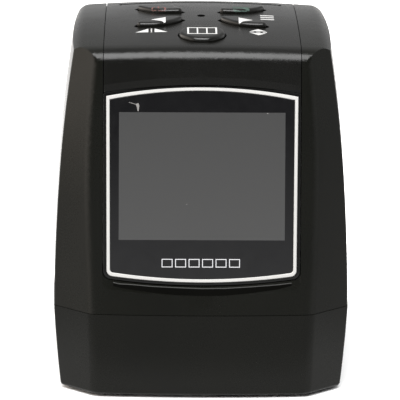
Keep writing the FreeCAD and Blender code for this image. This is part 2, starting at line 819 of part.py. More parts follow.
bosses = []
for sx in (-1, 1):
    for y in (-D.boss_front, D.boss_rear):
        tag = "%s%s" % ("l" if sx < 0 else "r", "f" if val(y) < 0 else "b")
        bosses.append(prim_round("hood_boss_" + tag, sx * D.boss_x, y, D.parting, D.boss_radius, D.boss_top - D.parting))
        if val(y) < 0:
            bosses.append(prim_box("hood_rib_" + tag, sx * D.boss_x - 0.7, sx * D.boss_x + 0.7, -40.6, y, D.parting + 0.6, D.boss_top - 0.4))
        else:
            bosses.append(prim_box("hood_rib_" + tag, sx * D.boss_x - 0.7, sx * D.boss_x + 0.7, y, 41.4, D.parting + 0.6, D.boss_top))
# posts for the display bracket
for sx in (-1, 1):
    for s in (17.0, 60.5):
        post = doc.addObject("Part::Cylinder", "bracket_post")
        post.Radius, post.Height = 1.7, 4.5
        post.Placement = PLANE.multiply(FreeCAD.Placement(V(sx * 30.0, s, -4.9), FreeCAD.Rotation()))
        bosses.append(post)
inside = form("hood_fill", upper_form(D.wall.v - 0.3))
boss_set = common("hood_boss_set", fuse("hood_bosses", *bosses), inside)
bores = []
for sx in (-1, 1):
    for y in (-D.boss_front, D.boss_rear):
        bores.append(prim_round("hood_bore", sx * D.boss_x, y, D.parting - 1, D.screw_bore, D.boss_top - D.parting - 0.5))
    for s in (17.0, 60.5):
        bore = doc.addObject("Part::Cylinder", "bracket_bore")
        bore.Radius, bore.Height = 0.85, 3.4
        bore.Placement = PLANE.multiply(FreeCAD.Placement(V(sx * 30.0, s, -5.5), FreeCAD.Rotation()))
        bores.append(bore)
    for z in (32.4, 85.6):
        bores.append(prim_round("rear_screw_bore", sx * 24.6, 34, z, 0.85, 20, "Y"))
upper_housing = cut("upper_housing", fuse("hood_solid", hood_walls, top_rails, rear_ledge, boss_set), *bores)
upper_housing.Label = "upper_housing"

# ---------------------------------------------------------------- top panel


def band_front_wire(n):
    h, low = D.band_half.v, D.open_top.v - 2.0
    fall = D.open_top_fall.v * (h / D.bezel_half.v) ** 2
    pts = [V(-h, low - fall, n), V(0, low, n), V(h, low - fall, n), V(h, 99, n), V(-h, 99, n)]
    return Part.Wire(
        [
            Part.Arc(pts[0], pts[1], pts[2]).toShape(),
            Part.LineSegment(pts[2], pts[3]).toShape(),
            Part.LineSegment(pts[3], pts[4]).toShape(),
            Part.LineSegment(pts[4], pts[0]).toShape(),
        ]
    )


band_front = form("band_front", laid(prism(band_front_wire(-10.0), 20.0)))
band_top = prim_box("band_top", -D.band_half, D.band_half, -24, 60, D.band_rear, 120)
band = common("band_walls", shell, fuse("band_zone", band_front, band_top))

BUTTONS = {}


def button_place(x, y):
    """Frame on the crown: origin on the surface, z along its normal."""
    z = surface_z(x, y)
    e = 0.01
    gx = (surface_z(x + e, y) - surface_z(x - e, y)) / (2 * e)
    gy = (surface_z(x, y + e) - surface_z(x, y - e)) / (2 * e)
    normal = V(-gx, -gy, 1.0).normalize()
    return FreeCAD.Placement(V(x, y, z), FreeCAD.Rotation(V(0, 0, 1), normal)), normal


def petal_tips(sx, sy):
    inner_tip = (sx * D.petal_in_x, D.petal_y + sy * D.petal_in_y)
    outer_tip = (sx * D.petal_out_x, D.petal_y + sy * D.petal_out_y)
    return inner_tip, outer_tip


def petal_cutter(name, sx, sy):
    a, b = petal_tips(sx, sy)
    cx, cy = (val(a[0]) + val(b[0])) / 2, (val(a[1]) + val(b[1])) / 2
    place, normal = button_place(cx, cy)
    body = new_body(name)
    sk = new_sketch(body, "Z", -6)
    ux, uy = unit(val(b[0]) - val(a[0]), val(b[1]) - val(a[1]))
    ux, uy = ux * D.petal_slit.v, uy * D.petal_slit.v
    draw_lens(sk, (val(a[0]) - cx - ux, val(a[1]) - cy - uy), (val(b[0]) - cx + ux, val(b[1]) - cy + uy), D.petal_half, D.button_gap.v)
    p = pad(body, sk, 12)
    round_edges(body, p, D.petal_tip + D.button_gap, lambda e, m: abs(e.BoundBox.ZLength - 12) < 0.01)
    body.Placement = place
    return body, place, normal


PETALS = [("power_button", -1, 1), ("menu_button", 1, 1), ("left_button", -1, -1), ("right_button", 1, -1)]
cutters = []
for label, sx, sy in PETALS:
    body, place, normal = petal_cutter("hole_" + label, sx, sy)
    cutters.append(body)
    BUTTONS[label] = (place, normal, sx, sy)
place, normal = button_place(0.0, -D.round_y.v)
BUTTONS["scan_button"] = (place, normal, 0, 0)
round_hole = new_body("hole_scan_button")
add_rounds(round_hole, "Z", -6, 6, [(0, 0, D.round_radius + D.button_gap)])
round_hole.Placement = place
cutters.append(round_hole)
cutters.append(prim_round("hole_light_pipe", 0, D.led_y, 90, D.pipe_radius + 0.1, 20))


# decorative groove near the rear of the top panel
def groove():
    r, w = 174.0, 0.36
    a = math.asin(23.9 / r)
    cy = 32.9 - r
    wires = []
    for rad, order in ((r + w, 1), (r - w, -1)):
        pts = [V(-rad * math.sin(a), cy + rad * math.cos(a), 90), V(0, cy + rad, 90), V(rad * math.sin(a), cy + rad * math.cos(a), 90)]
        wires.append(pts[::order])
    edges = [Part.Arc(*wires[0]).toShape(), Part.LineSegment(wires[0][2], wires[1][0]).toShape()]
    edges += [Part.Arc(*wires[1]).toShape(), Part.LineSegment(wires[1][2], wires[0][0]).toShape()]
    strip = Part.Face(Part.Wire(edges)).extrude(V(0, 0, 20))
    for sx in (-1, 1):
        hook = Part.makeBox(0.8, 2.4, 20, V(sx * 23.9 - 0.4, 29.6, 90))
        strip = strip.fuse(hook)
    return strip.cut(lid(0.4))


cutters.append(form("top_groove", groove()))
key_posts = []
for sx in (-1, 1):
    for y in (-15.0, 24.0):
        key_posts.append(
            prim_round("key_post", sx * 23.3, y, D.keyboard_z + D.board, 2.0, 6.3)
        )
key_bores = [
    prim_round("key_post_bore", sx * 23.3, y, D.keyboard_z, 0.85, 4.5) for sx in (-1, 1) for y in (-15.0, 24.0)
]
roll_ribs = [prim_box("roll_rib", *(sorted((sx * 23.4, sx * 25.9)) + [36.0, 39.6, 93.2, 96.4])) for sx in (-1, 1)]
top_panel = cut("top_panel", fuse("top_panel_solid", band, *(key_posts + roll_ribs)), *(cutters + key_bores))
top_panel.Label = "top_panel"

# --------------------------------------------------------------- rear panel
rear_zone = prim_box(
    "rear_zone",
    -(D.rear_open_x - D.seam_gap),
    D.rear_open_x - D.seam_gap,
    36,
    60,
    D.rear_open_low + D.seam_gap,
    D.rear_open_top - D.seam_gap,
)
rear_plate = common("rear_plate", shell, rear_zone)
BOARD_FIX = [(-16.0, 42.0), (-16.0, 57.0), (20.0, 42.0), (20.0, 79.0)]
standoffs = [prim_round("rear_standoff", x, D.board_y + D.main_board, z, 2.0, 9.2, "Y") for x, z in BOARD_FIX]
rear_holes = [
    prim_round("rear_hole", sx * 24.6, 34, z, 1.05, 20, "Y") for sx in (-1, 1) for z in (32.4, 85.6)
]
rear_holes += [
    prim_round("rear_head_recess", sx * 24.6, D.rear_y - 2.15 - (z - 25.5) * math.tan(REAR), z, 2.0, 10, "Y")
    for sx in (-1, 1)
    for z in (32.4, 85.6)
]
rear_holes.append(prim_box("usb_hole", -14.3, -5.7, 30, 60, 47.8, 52.2))
rear_holes.append(prim_round("jack_hole", 8.0, 34, 50.0, 3.2, 20, "Y"))
for i in range(7):
    rear_holes.append(prim_box("vent_slot", -13.0, 13.0, 36, 60, 58.0 + 2.6 * i, 59.2 + 2.6 * i))
rear_holes += [
    prim_round("standoff_bore", x, D.board_y + D.main_board - 1, z, 0.85, 7, "Y") for x, z in BOARD_FIX
]
rear_panel = cut("rear_panel", fuse("rear_panel_solid", rear_plate, *standoffs), *rear_holes)
rear_panel.Label = "rear_panel"

# ------------------------------------------------------------- base housing
edge_steps = [(0.0, 1.0), (0.12, 0.55), (0.4, 0.2), (0.95, 0.0)]
base_edge = Part.makeLoft([base_section(D.foot_drop.v + rise, t) for rise, t in edge_steps], True, True)
base_upper = base_tube(D.foot_drop.v + edge_steps[-1][0], D.parting.v, 0.0)
base_outer = form("base_outer_form", base_upper.fuse(base_edge))
base_inner = form("base_inner_form", base_tube(D.foot_drop.v - 1.0, D.parting.v - D.deck.v, D.wall.v))
base_walls = cut("base_walls", base_outer, base_inner)
base_bosses = []
for sx in (-1, 1):
    for y in (-D.boss_front, D.boss_rear):
        base_bosses.append(
            prim_round("base_boss", sx * D.boss_x, y, D.cover_bottom + D.cover_thick, D.boss_radius, D.parting - D.cover_bottom - D.cover_thick - 0.5)
        )
base_fill = form("base_fill", base_tube(D.foot_drop.v, D.parting.v, 0.6))
base_boss_set = common("base_boss_set", fuse("base_bosses", *base_bosses), base_fill)
base_bores = [
    prim_round("base_bore", sx * D.boss_x, y, -1, D.screw_clear, 30) for sx in (-1, 1) for y in (-D.boss_front, D.boss_rear)
]
window_hole = prim_box("window_hole", -D.window_x, D.window_x, -D.window_y, D.window_y, 10, 40)
lead_hole = prim_box("lead_hole", 9.0, 15.0, 33.4, 36.0, 20, 40)
base_housing = cut("base_solid", fuse("base_joined", base_walls, base_boss_set), window_hole, lead_hole, *base_bores)

base_housing.Label = "base_housing"

# ------------------------------------------------------------- bottom cover
plate = form("cover_plate", thin_plate(D.cover_bottom.v, D.cover_bottom.v + D.cover_thick.v, D.wall.v + 0.4))
FEET = [(sx * D.foot_x, y) for sx in (-1, 1) for y in (-D.foot_front, D.foot_rear)]
cover_cuts = [prim_round("foot_recess", x, y, 0, D.foot_radius + 0.1, D.foot_height) for x, y in FEET]
for sx in (-1, 1):
    for y in (-D.boss_front, D.boss_rear):
        cover_cuts.append(prim_round("cover_bore", sx * D.boss_x, y, 0, D.screw_clear, 10))
        cover_cuts.append(prim_round("cover_head", sx * D.boss_x, y, 0, D.head_radius + 0.2, 2.3))
for i in range(5):
    cover_cuts.append(prim_box("cover_vent", -14.0 + 6.0 * i, -10.0 + 6.0 * i, 24.0, 25.5, 0, 10))
bottom_cover = cut("bottom_cover", plate, *cover_cuts)
bottom_cover.Label = "bottom_cover"

feet = new_body("rubber_feet")
foot_pad = add_rounds(feet, "Z", 0, D.foot_height, [(x, y, D.foot_radius) for x, y in FEET])
round_edges(feet, foot_pad, 0.5, lambda e, m: abs(m.z) < 0.01 and e.Length > 20)

screws = new_body("case_screws")
SCREWS = [(sx * D.boss_x, y) for sx in (-1, 1) for y in (-D.boss_front, D.boss_rear)]
add_rounds(screws, "Z", D.cover_bottom + 0.15, D.cover_bottom + 1.1, [(x, y, D.head_radius) for x, y in SCREWS])
add_rounds(screws, "Z", D.cover_bottom + 1.1, D.boss_top - 2, [(x, y, D.screw_radius) for x, y in SCREWS])
cut_rects(
    screws,
    "Z",
    D.cover_bottom,
    D.cover_bottom + 0.7,
    [(x - 1.5, x + 1.5, y - 0.25, y + 0.25) for x, y in SCREWS],
)

# ----------------------------------------------------------------- backlight
box_bottom = D.cover_bottom + D.cover_thick
box_top = D.parting - D.deck - D.diffuser_thick
light_box = new_body("light_box")
add_rects(light_box, "Z", box_bottom, box_top, [(-D.lightbox_x, D.lightbox_x, -D.lightbox_y, D.lightbox_y)])
cut_rects(
    light_box,
    "Z",
    box_bottom + D.lightbox_wall,
    box_top,
    [
        (
            -(D.lightbox_x - D.lightbox_wall),
            D.lightbox_x - D.lightbox_wall,
            -(D.lightbox_y - D.lightbox_wall),
            D.lightbox_y - D.lightbox_wall,
        )
    ],
)
cut_rects(light_box, "Y", 15, 22, [(10.0, 14.0, 6.4, 8.0)])
led_board = slab("led_board", -21, 21, -15, 15, box_bottom + D.lightbox_wall, box_bottom + D.lightbox_wall + D.board)
leds = new_body("backlight_leds")
led_z = box_bottom + D.lightbox_wall + D.board
add_rects(leds, "Z", led_z, led_z + 0.9, [(x - 1.75, x + 1.75, y - 1.4, y + 1.4) for x in (-14, 0, 14) for y in (-8, 8)])
diffuser = slab("diffuser", -D.lightbox_x, D.lightbox_x, -D.lightbox_y, D.lightbox_y, box_top, box_top + D.diffuser_thick)
light_window = slab(
    "light_window",
    -(D.window_x - D.fit_gap),
    D.window_x - D.fit_gap,
    -(D.window_y - D.fit_gap),
    D.window_y - D.fit_gap,
    D.parting - D.deck,
    D.parting,
)

# ----------------------------------------------------------------- film gate
gate = new_body("film_gate")
add_rects(
    gate,
    "Z",
    D.parting,
    D.slot_top,
    [
        (-D.gate_half_x, D.gate_half_x, -(D.slot_half + D.rail), -D.slot_half),
        (-D.gate_half_x, D.gate_half_x, D.slot_half, D.slot_half + D.rail),
    ],
)
add_rects(
    gate,
    "Z",
    D.slot_top,
    D.slot_top + D.gate_plate,
    [(-D.gate_half_x, D.gate_half_x, -(D.slot_half + D.rail), D.slot_half + D.rail)],
)
cut_rects(gate, "Z", D.slot_top - 1, D.slot_top + D.gate_plate, [(-0.5 * D.aperture_x, 0.5 * D.aperture_x, -0.5 * D.aperture_y, 0.5 * D.aperture_y)])
cut_rounds(gate, "Y", D.slot_half - 1, D.slot_half + D.rail, [(0, D.detent_z, D.detent_radius + 0.08)])
# carrier of the detent spring, behind the rear rail
add_rects(gate, "Z", D.parting, D.slot_top + D.gate_plate, [(-4, 4, 38.2, 39.3)])
add_rects(gate, "Z", D.slot_top + 0.5, D.slot_top + D.gate_plate, [(-4, 4, D.slot_half + D.rail - 0.5, 39.0)])

detent = new_body("detent_pin")
sk = new_sketch(detent, "X", 0)
rim = D.slot_half + D.rail
tip_y = D.slot_half - D.detent_reach
draw_poly(
    sk,
    [
        (tip_y, D.detent_z),
        (tip_y, D.detent_z + 0.5),
        (tip_y + 0.9, D.detent_z + D.detent_radius),
        (rim + 0.15, D.detent_z + D.detent_radius),
        (rim + 0.15, D.detent_z + 2.4),
        (rim + 1.05, D.detent_z + 2.4),
        (rim + 1.05, D.detent_z + 0.9),
        (rim + 2.6, D.detent_z + 0.9),
        (rim + 2.6, D.detent_z),
    ],
)
turn = detent.newObject("PartDesign::Revolution", "detent_turn")
turn.Profile = sk
axis_line = detent.newObject("PartDesign::Line", "detent_axis")
for feature in detent.Origin.OriginFeatures:
    if feature.Role == "Y_Axis":
        axis_line.AttachmentSupport = [(feature, "")]
axis_line.MapMode = "Deactivated"
axis_line.Placement = FreeCAD.Placement(V(0, 0, D.detent_z.v), FreeCAD.Rotation(V(1, 0, 0), -90))
axis_line.setExpression("Placement.Base.z", "Dims.detent_z")
turn.ReferenceAxis = (axis_line, [""])
turn.Angle = 360

helix = Part.makeHelix(0.72, 4.4, 1.7)
start = helix.Vertexes[0].Point
wire_axis = V(0, 1, 0.13).normalize()
wire_up = wire_axis.cross(V(1, 0, 0)).normalize()
section = [start + V(1, 0, 0) * (0.22 * math.cos(a)) + wire_up * (0.22 * math.sin(a)) for a in [math.pi * i / 4 for i in range(9)]]
ring = Part.Wire([Part.makePolygon(section)])
coil = Part.Wire(helix.Edges).makePipeShell([ring], True, True)
spring = doc.addObject("Part::Feature", "detent_spring")
spring.Shape = coil
spring.Placement = FreeCAD.Placement(V(0, 33.28, D.detent_z.v), FreeCAD.Rotation(V(1, 0, 0), -90))
spring.Label = "detent_spring"

# -------------------------------------------------------------------- optics
chamber = new_body("optical_chamber")
low_z = D.slot_top + D.gate_plate


def loft_feature(kind, name, inset):
    feature = chamber.newObject(kind, name)
    s1 = new_sketch(chamber, "Z", low_z)
    draw_rect(s1, -(D.chamber_low_x - inset), D.chamber_low_x - inset, -(D.chamber_low_y - inset), D.chamber_low_y - inset)
    s2 = new_sketch(chamber, "Z", D.lens_z)
    draw_rect(s2, -(D.chamber_high - inset), D.chamber_high - inset, -(D.chamber_high - inset), D.chamber_high - inset)
    feature.Profile = s1
    feature.Sections = [s2]
    feature.Ruled = True
    return feature


loft_feature("PartDesign::AdditiveLoft", "chamber_outside", 0)
loft_feature("PartDesign::SubtractiveLoft", "chamber_inside", D.chamber_wall)

holder = new_body("lens_holder")
add_rects(holder, "Z", D.lens_z, D.lens_z + 1.5, [(-D.chamber_high, D.chamber_high, -D.chamber_high, D.chamber_high)])
add_rounds(holder, "Z", D.lens_z + 1.5, D.lens_z + 6, [(0, 0, 8.0)])
cut_rounds(holder, "Z", D.lens_z - 1, D.lens_z + 6, [(0, 0, D.barrel_radius + 0.05)])

barrel = new_body("lens_barrel")
add_rounds(barrel, "Z", D.lens_z - 2, D.lens_z + 8, [(0, 0, D.barrel_radius)])
add_rounds(barrel, "Z", D.lens_z + 6.2, D.lens_z + 8, [(0, 0, D.barrel_radius + 1.2)])
cut_rounds(barrel, "Z", D.lens_z - 3, D.lens_z + 8, [(0, 0, 2.2)])
cut_rounds(barrel, "Z", D.lens_z + 3.5, D.lens_z + 8, [(0, 0, 3.6)])
cut_rounds(barrel, "Z", D.lens_z - 2.5, D.lens_z + 0.5, [(0, 0, 3.6)])


def lens_solid(z0, z1, r, bow):
    """Double convex element between two heights at its rim."""
    a, b = V(0, 0, z0 - bow), V(r, 0, z0)
    c, d = V(r, 0, z1), V(0, 0, z1 + bow)
    ball = (r * r + bow * bow) / (2 * bow)
    half_way = math.sqrt(ball**2 - (r / 2) ** 2) - (ball - bow)
    m1 = V(r / 2, 0, z0 - half_way)
    m2 = V(r / 2, 0, z1 + half_way)
    w = Part.Wire(
        [Part.Arc(a, m1, b).toShape(), Part.LineSegment(b, c).toShape(), Part.Arc(c, m2, d).toShape(), Part.LineSegment(d, a).toShape()]
    )
    return Part.Face(w).revolve(V(0, 0, 0), V(0, 0, 1), 360)


lens_z = D.lens_z.v
glass = form("lens_elements", Part.makeCompound([lens_solid(lens_z - 1.2, lens_z + 0.1, 3.55, 0.35), lens_solid(lens_z + 4.1, lens_z + 5.6, 3.55, 0.5)]))
glass.Label = "lens_elements"

sensor_mount = new_body("sensor_mount")
add_rects(sensor_mount, "Z", D.lens_z + 1.5, D.sensor_z, [(-D.chamber_high, D.chamber_high, -D.chamber_high, D.chamber_high)])
cut_rects(sensor_mount, "Z", D.lens_z + 1.4, D.sensor_z, [(-8.4, 8.4, -8.4, 8.4)])
add_rects(sensor_mount, "Z", D.sensor_z - 4.2, D.sensor_z - 3.2, [(-8.6, 8.6, -8.6, -5.6), (-8.6, 8.6, 5.6, 8.6)])
add_rects(sensor_mount, "Z", D.sensor_z - 4, D.sensor_z, [(-14.5, -9.8, -2.3, 2.3), (9.8, 14.5, -2.3, 2.3)])
cut_rounds(sensor_mount, "Z", D.sensor_z - 3.5, D.sensor_z, [(-12.3, 0, 0.95), (12.3, 0, 0.95)])
infra = slab("ir_filter", -7.9, 7.9, -7.9, 7.9, D.sensor_z - 3.2, D.sensor_z - 2.6)
sensor = slab("image_sensor", -6, 6, -5, 5, D.sensor_z - 1.4, D.sensor_z)
sensor_board = new_body("sensor_board")
add_rects(sensor_board, "Z", D.sensor_z, D.sensor_z + D.board, [(-16, 16, -14, 14)])
cut_rounds(sensor_board, "Z", D.sensor_z - 1, D.sensor_z + D.board, [(-12.3, 0, 1.1), (12.3, 0, 1.1)])
optic_screws = new_body("optics_screws")
add_rounds(optic_screws, "Z", D.sensor_z + D.board, D.sensor_z + D.board + 1.0, [(-12.3, 0, 1.8), (12.3, 0, 1.8)])
add_rounds(optic_screws, "Z", D.sensor_z - 3, D.sensor_z + D.board, [(-12.3, 0, 0.85), (12.3, 0, 0.85)])

# ------------------------------------------------------------------- display
bezel_proud = D.bezel_proud
gap = D.bezel_gap.v
soft = 0.25
bezel_rim = Part.makeLoft(
    [opening_wire(-gap, bezel_proud.v - soft), opening_wire(-gap - 0.08, bezel_proud.v - 0.08), opening_wire(-gap - soft, bezel_proud.v)],
    True,
    True,
)
bezel_block = laid(prism(opening_wire(-gap, -1.4), 1.4 + bezel_proud.v - soft).fuse(bezel_rim))
ring_recess = laid(prism(ring_wire(-0.05, 0.0), 3.0))
view_hole = laid(
    Part.makeBox(
        2 * D.view_half.v + 1.2,
        D.view_top.v - D.view_low.v + 1.2,
        6,
        V(-D.view_half.v - 0.6, D.view_low.v - 0.6, -3),
    )
)
bezel_shape = bezel_block.cut(ring_recess).cut(view_hole)
bezel = form("bezel_frame", bezel_shape)
bezel.Label = "bezel_frame"

ring_top, soft = bezel_proud.v + D.ring_proud.v, 0.14
ring_solid = prism(ring_wire(0.0, 0.0), ring_top - soft).fuse(
    Part.makeLoft([ring_wire(0.0, ring_top - soft), ring_wire(soft, ring_top)], True, True)
)
ring_hole = prism(ring_wire(D.ring_width.v, -1.0), 1.0 + ring_top - soft).fuse(
    Part.makeLoft([ring_wire(D.ring_width.v, ring_top - soft), ring_wire(D.ring_width.v - soft, ring_top)], True, True)
)
ring_shape = laid(ring_solid.cut(ring_hole))
ring_part = form("trim_ring", ring_shape)
ring_part.Label = "trim_ring"
lens_part = form("display_lens", laid(prism(ring_wire(D.ring_width.v + 0.04, 0.0), D.lens_thick.v)))
lens_part.Label = "display_lens"

view_mid = (D.view_low + D.view_top) * 0.5
gasket = new_body("lcd_gasket")
add_rects(gasket, "Z", -1.4 - D.gasket, -1.4, [(-27.5, 27.5, view_mid - 21.5, view_mid + 21.5)])
cut_rects(gasket, "Z", -1.5 - D.gasket, -1.4, [(-25.0, 25.0, view_mid - 19.2, view_mid + 19.2)])
lay_on_plane(gasket)
panel = new_body("lcd_panel")
panel_back = -1.4 - D.gasket - D.panel_thick
add_rects(panel, "Z", panel_back, -1.4 - D.gasket, [(-D.panel_half, D.panel_half, view_mid - 21.4, view_mid + 21.4)])
lay_on_plane(panel)
tray = new_body("lcd_frame")
add_rects(tray, "Z", panel_back - 1.5, -1.4 - D.gasket, [(-D.frame_half, D.frame_half, view_mid - 22.2, view_mid + 22.2)])
cut_rects(tray, "Z", panel_back, -1.3 - D.gasket, [(-(D.panel_half + 0.05), D.panel_half + 0.05, view_mid - 21.45, view_mid + 21.45)])
lay_on_plane(tray)
bracket = new_body("lcd_bracket")
bracket_front = panel_back - 1.5
add_rects(bracket, "Z", bracket_front - D.bracket_thick, bracket_front, [(-D.bracket_half, D.bracket_half, 14.5, 63.0)])
cut_rects(bracket, "Z", bracket_front - D.bracket_thick - 1, bracket_front, [(-20, 20, 24.0, 55.0)])
cut_rounds(bracket, "Z", bracket_front - D.bracket_thick - 1, bracket_front, [(sx * 30.0, s, 1.05) for sx in (-1, 1) for s in (17.0, 60.5)])
lay_on_plane(bracket)
lcd_screws = new_body("lcd_screws")
spots = [(sx * 30.0, s) for sx in (-1, 1) for s in (17.0, 60.5)]
add_rounds(lcd_screws, "Z", bracket_front - D.bracket_thick - 1.0, bracket_front - D.bracket_thick, [(x, s, 1.6) for x, s in spots])
add_rounds(lcd_screws, "Z", bracket_front - D.bracket_thick, bracket_front + 1.6, [(x, s, 0.8) for x, s in spots])
lay_on_plane(lcd_screws)

# ------------------------------------------------------------------- buttons
PLUNGERS = {}
for label, (place, normal, sx, sy) in BUTTONS.items():
    cap = new_body(label)
    drop = D.wall.v + 0.3
    low = -(drop + D.flange_thick.v)
    if sx == 0:
        body_pad = add_rounds(cap, "Z", low, D.button_rise, [(0, 0, D.round_radius)])
        rounding = 1.2
        centre = V(0, -D.round_y.v, 0)
    else:
        a, b = petal_tips(sx, sy)
        cx, cy = (val(a[0]) + val(b[0])) / 2, (val(a[1]) + val(b[1])) / 2
        centre = V(cx, cy, 0)
        ia, ib = (val(a[0]) - cx, val(a[1]) - cy), (val(b[0]) - cx, val(b[1]) - cy)
        sk = new_sketch(cap, "Z", low)
        draw_lens(sk, ia, ib, D.petal_half)
        p = pad(cap, sk, D.button_rise - low)
        tall = D.button_rise.v - low
        body_pad = round_edges(cap, p, D.petal_tip, lambda e, m: abs(e.BoundBox.ZLength - tall) < 0.01)
        rounding = 0.95
    round_edges(cap, body_pad, rounding, lambda e, m: abs(m.z - D.button_rise.v) < 0.01 and e.BoundBox.ZLength < 0.01)
    if sx == 0:
        add_rounds(cap, "Z", low, -drop, [(0, 0, D.round_radius + D.flange)])
    else:
        sk = new_sketch(cap, "Z", low)
        draw_lens(sk, ia, ib, D.petal_half, D.flange.v + 0.5)
        pad(cap, sk, D.flange_thick)
    reach = place.Base.z + low * normal.z - D.plunger_top.v - 0.1
    add_rounds(cap, "Z", low - reach / normal.z, low + 0.2, [(0, 0, D.stem_radius)])
    cap.Placement = place
    foot = place.multVec(V(0, 0, low - reach / normal.z))
    plunger = new_body(label.replace("_button", "_plunger"))
    add_rounds(plunger, "Z", D.plunger_top - 2.1, D.plunger_top, [(foot.x, foot.y, D.plunger_radius)])
    PLUNGERS[label] = (foot.x, foot.y)

tacts = new_body("tact_switches")
tz = D.keyboard_z + D.board
half = 0.5 * D.switch_size
add_rects(tacts, "Z", tz, tz + D.switch_tall, [(x - half, x + half, y - half, y + half) for x, y in PLUNGERS.values()])
cut_rounds(tacts, "Z", tz + 0.9, tz + D.switch_tall, [(x, y, D.plunger_radius + 0.12) for x, y in PLUNGERS.values()])

key_board = new_body("key_board")
add_rects(key_board, "Z", D.keyboard_z, D.keyboard_z + D.board, [(-25.6, 25.6, -18, 27)])
cut_rounds(key_board, "Z", D.keyboard_z - 1, D.keyboard_z + D.board, [(sx * 23.3, y, 1.05) for sx in (-1, 1) for y in (-15.0, 24.0)])
key_screws = new_body("key_board_screws")
KS = [(sx * 23.3, y) for sx in (-1, 1) for y in (-15.0, 24.0)]
add_rounds(key_screws, "Z", D.keyboard_z - 1.0, D.keyboard_z, [(x, y, 1.7) for x, y in KS])
add_rounds(key_screws, "Z", D.keyboard_z, D.keyboard_z + D.board + 2.5, [(x, y, 0.8) for x, y in KS])

status_led = new_body("status_led")
add_rects(status_led, "Z", tz, tz + 0.9, [(-1.5, 1.5, D.led_y - 1.0, D.led_y + 1.0)])
pipe = new_body("light_pipe")
crown_led = D.top_height - 0.1
add_rounds(pipe, "Z", tz + 0.9, crown_led, [(0, D.led_y, D.pipe_radius)])
add_rounds(pipe, "Z", D.top_height - 3.3, D.top_height - 2.35, [(0, D.led_y, D.pipe_radius + 0.9)])

# ---------------------------------------------------------------- main board
main = new_body("main_board")
b0, b1 = D.board_y, D.board_y + D.main_board
add_rects(main, "Y", b0, b1, [(-34.5, 29.0, 39.0, 89.5)])
cut_rounds(main, "Y", b0 - 1, b1, [(x, z, 1.05) for x, z in BOARD_FIX])
chips = new_body("board_chips")
add_rects(chips, "Y", b0 - 1.4, b0, [(4.0, 16.0, 46.0, 58.0), (-14.0, -4.0, 46.0, 54.0), (20.0, 26.0, 50.0, 56.0), (6.0, 14.0, 64.0, 70.0)])
board_screws = new_body("main_board_screws")
MS = BOARD_FIX
add_rounds(board_screws, "Y", b0 - 1.0, b0, [(x, z, 1.8) for x, z in MS])
add_rounds(board_screws, "Y", b0, b1 + 5.0, [(x, z, 0.8) for x, z in MS])

usb = new_body("usb_connector")
add_rects(usb, "Y", b1, 41.9, [(-13.9, -6.1, 48.1, 51.9)])
cut_rects(usb, "Y", 35.0, 41.9, [(-13.4, -6.6, 48.6, 51.4)])
add_rects(usb, "Y", 34.5, 40.6, [(-12.4, -7.6, 49.7, 50.4)])
jack = new_body("tv_jack")
add_rects(jack, "Y", b1, 39.6, [(4.2, 11.8, 46.6, 53.4)])
add_rounds(jack, "Y", 39.6, 42.2, [(8.0, 50.0, 3.0)])
cut_rounds(jack, "Y", 32.6, 42.2, [(8.0, 50.0, 1.8)])
card = new_body("sd_socket")
add_rects(card, "Y", 27.0, b0, [(-34.5, -7.0, 61.0, 87.0)])
cut_rects(card, "X", -34.5, -8.5, [(27.4, 29.7, 61.9, 86.1)])

rear_screws = new_body("rear_screws")
for x, z in [(sx * 24.6, z) for sx in (-1, 1) for z in (32.4, 85.6)]:
    seat = D.rear_y - 2.15 - (z - 25.5) * math.tan(REAR)
    add_rounds(rear_screws, "Y", seat + 0.02, seat + 1.1, [(x, z, 1.75)])
    add_rounds(rear_screws, "Y", seat - 4.6, seat + 0.02, [(x, z, 0.8)])


# -------------------------------------------------------------- flat cables
def ribbon(label, x0, x1, points, thick):
    """Flat cable: a strip of even thickness along a path in the YZ plane."""
    left, right = [], []
    n = len(points)
    for i, p in enumerate(points):
        a = points[max(i - 1, 0)]
        b = points[min(i + 1, n - 1)]
        if 0 < i < n - 1:
            d1 = unit(p[0] - a[0], p[1] - a[1])
            d2 = unit(b[0] - p[0], b[1] - p[1])
            t = unit(d1[0] + d2[0], d1[1] + d2[1])
            stretch = 1.0 / (t[0] * d1[0] + t[1] * d1[1])
        else:
            t, stretch = unit(b[0] - a[0], b[1] - a[1]), 1.0
        off = (-t[1] * thick / 2 * stretch, t[0] * thick / 2 * stretch)
        left.append((p[0] + off[0], p[1] + off[1]))
        right.append((p[0] - off[0], p[1] - off[1]))
    body = new_body(label)
    sk = new_sketch(body, "X", x0)
    draw_poly(sk, left + right[::-1])
    pad(body, sk, x1 - x0)
    return body


def on_plane(s, n):
    p = PLANE.multVec(V(0, s, n))
    return (p.y, p.z)


def eased(points, steps=5):
    """The path with each inner corner cut by a short bend."""
    out = [points[0]]
    for i in range(1, len(points) - 1):
        a, p, b = points[i - 1], points[i], points[i + 1]
        la, lb = math.hypot(p[0] - a[0], p[1] - a[1]), math.hypot(b[0] - p[0], b[1] - p[1])
        cut_at = min(la, lb) * 0.42
        s = (p[0] - (p[0] - a[0]) / la * cut_at, p[1] - (p[1] - a[1]) / la * cut_at)
        e = (p[0] + (b[0] - p[0]) / lb * cut_at, p[1] + (b[1] - p[1]) / lb * cut_at)
        for k in range(steps + 1):
            f = k / steps
            out.append(
                (
                    (1 - f) ** 2 * s[0] + 2 * f * (1 - f) * p[0] + f * f * e[0],
                    (1 - f) ** 2 * s[1] + 2 * f * (1 - f) * p[1] + f * f * e[1],
                )
            )
    out.append(points[-1])
    return out


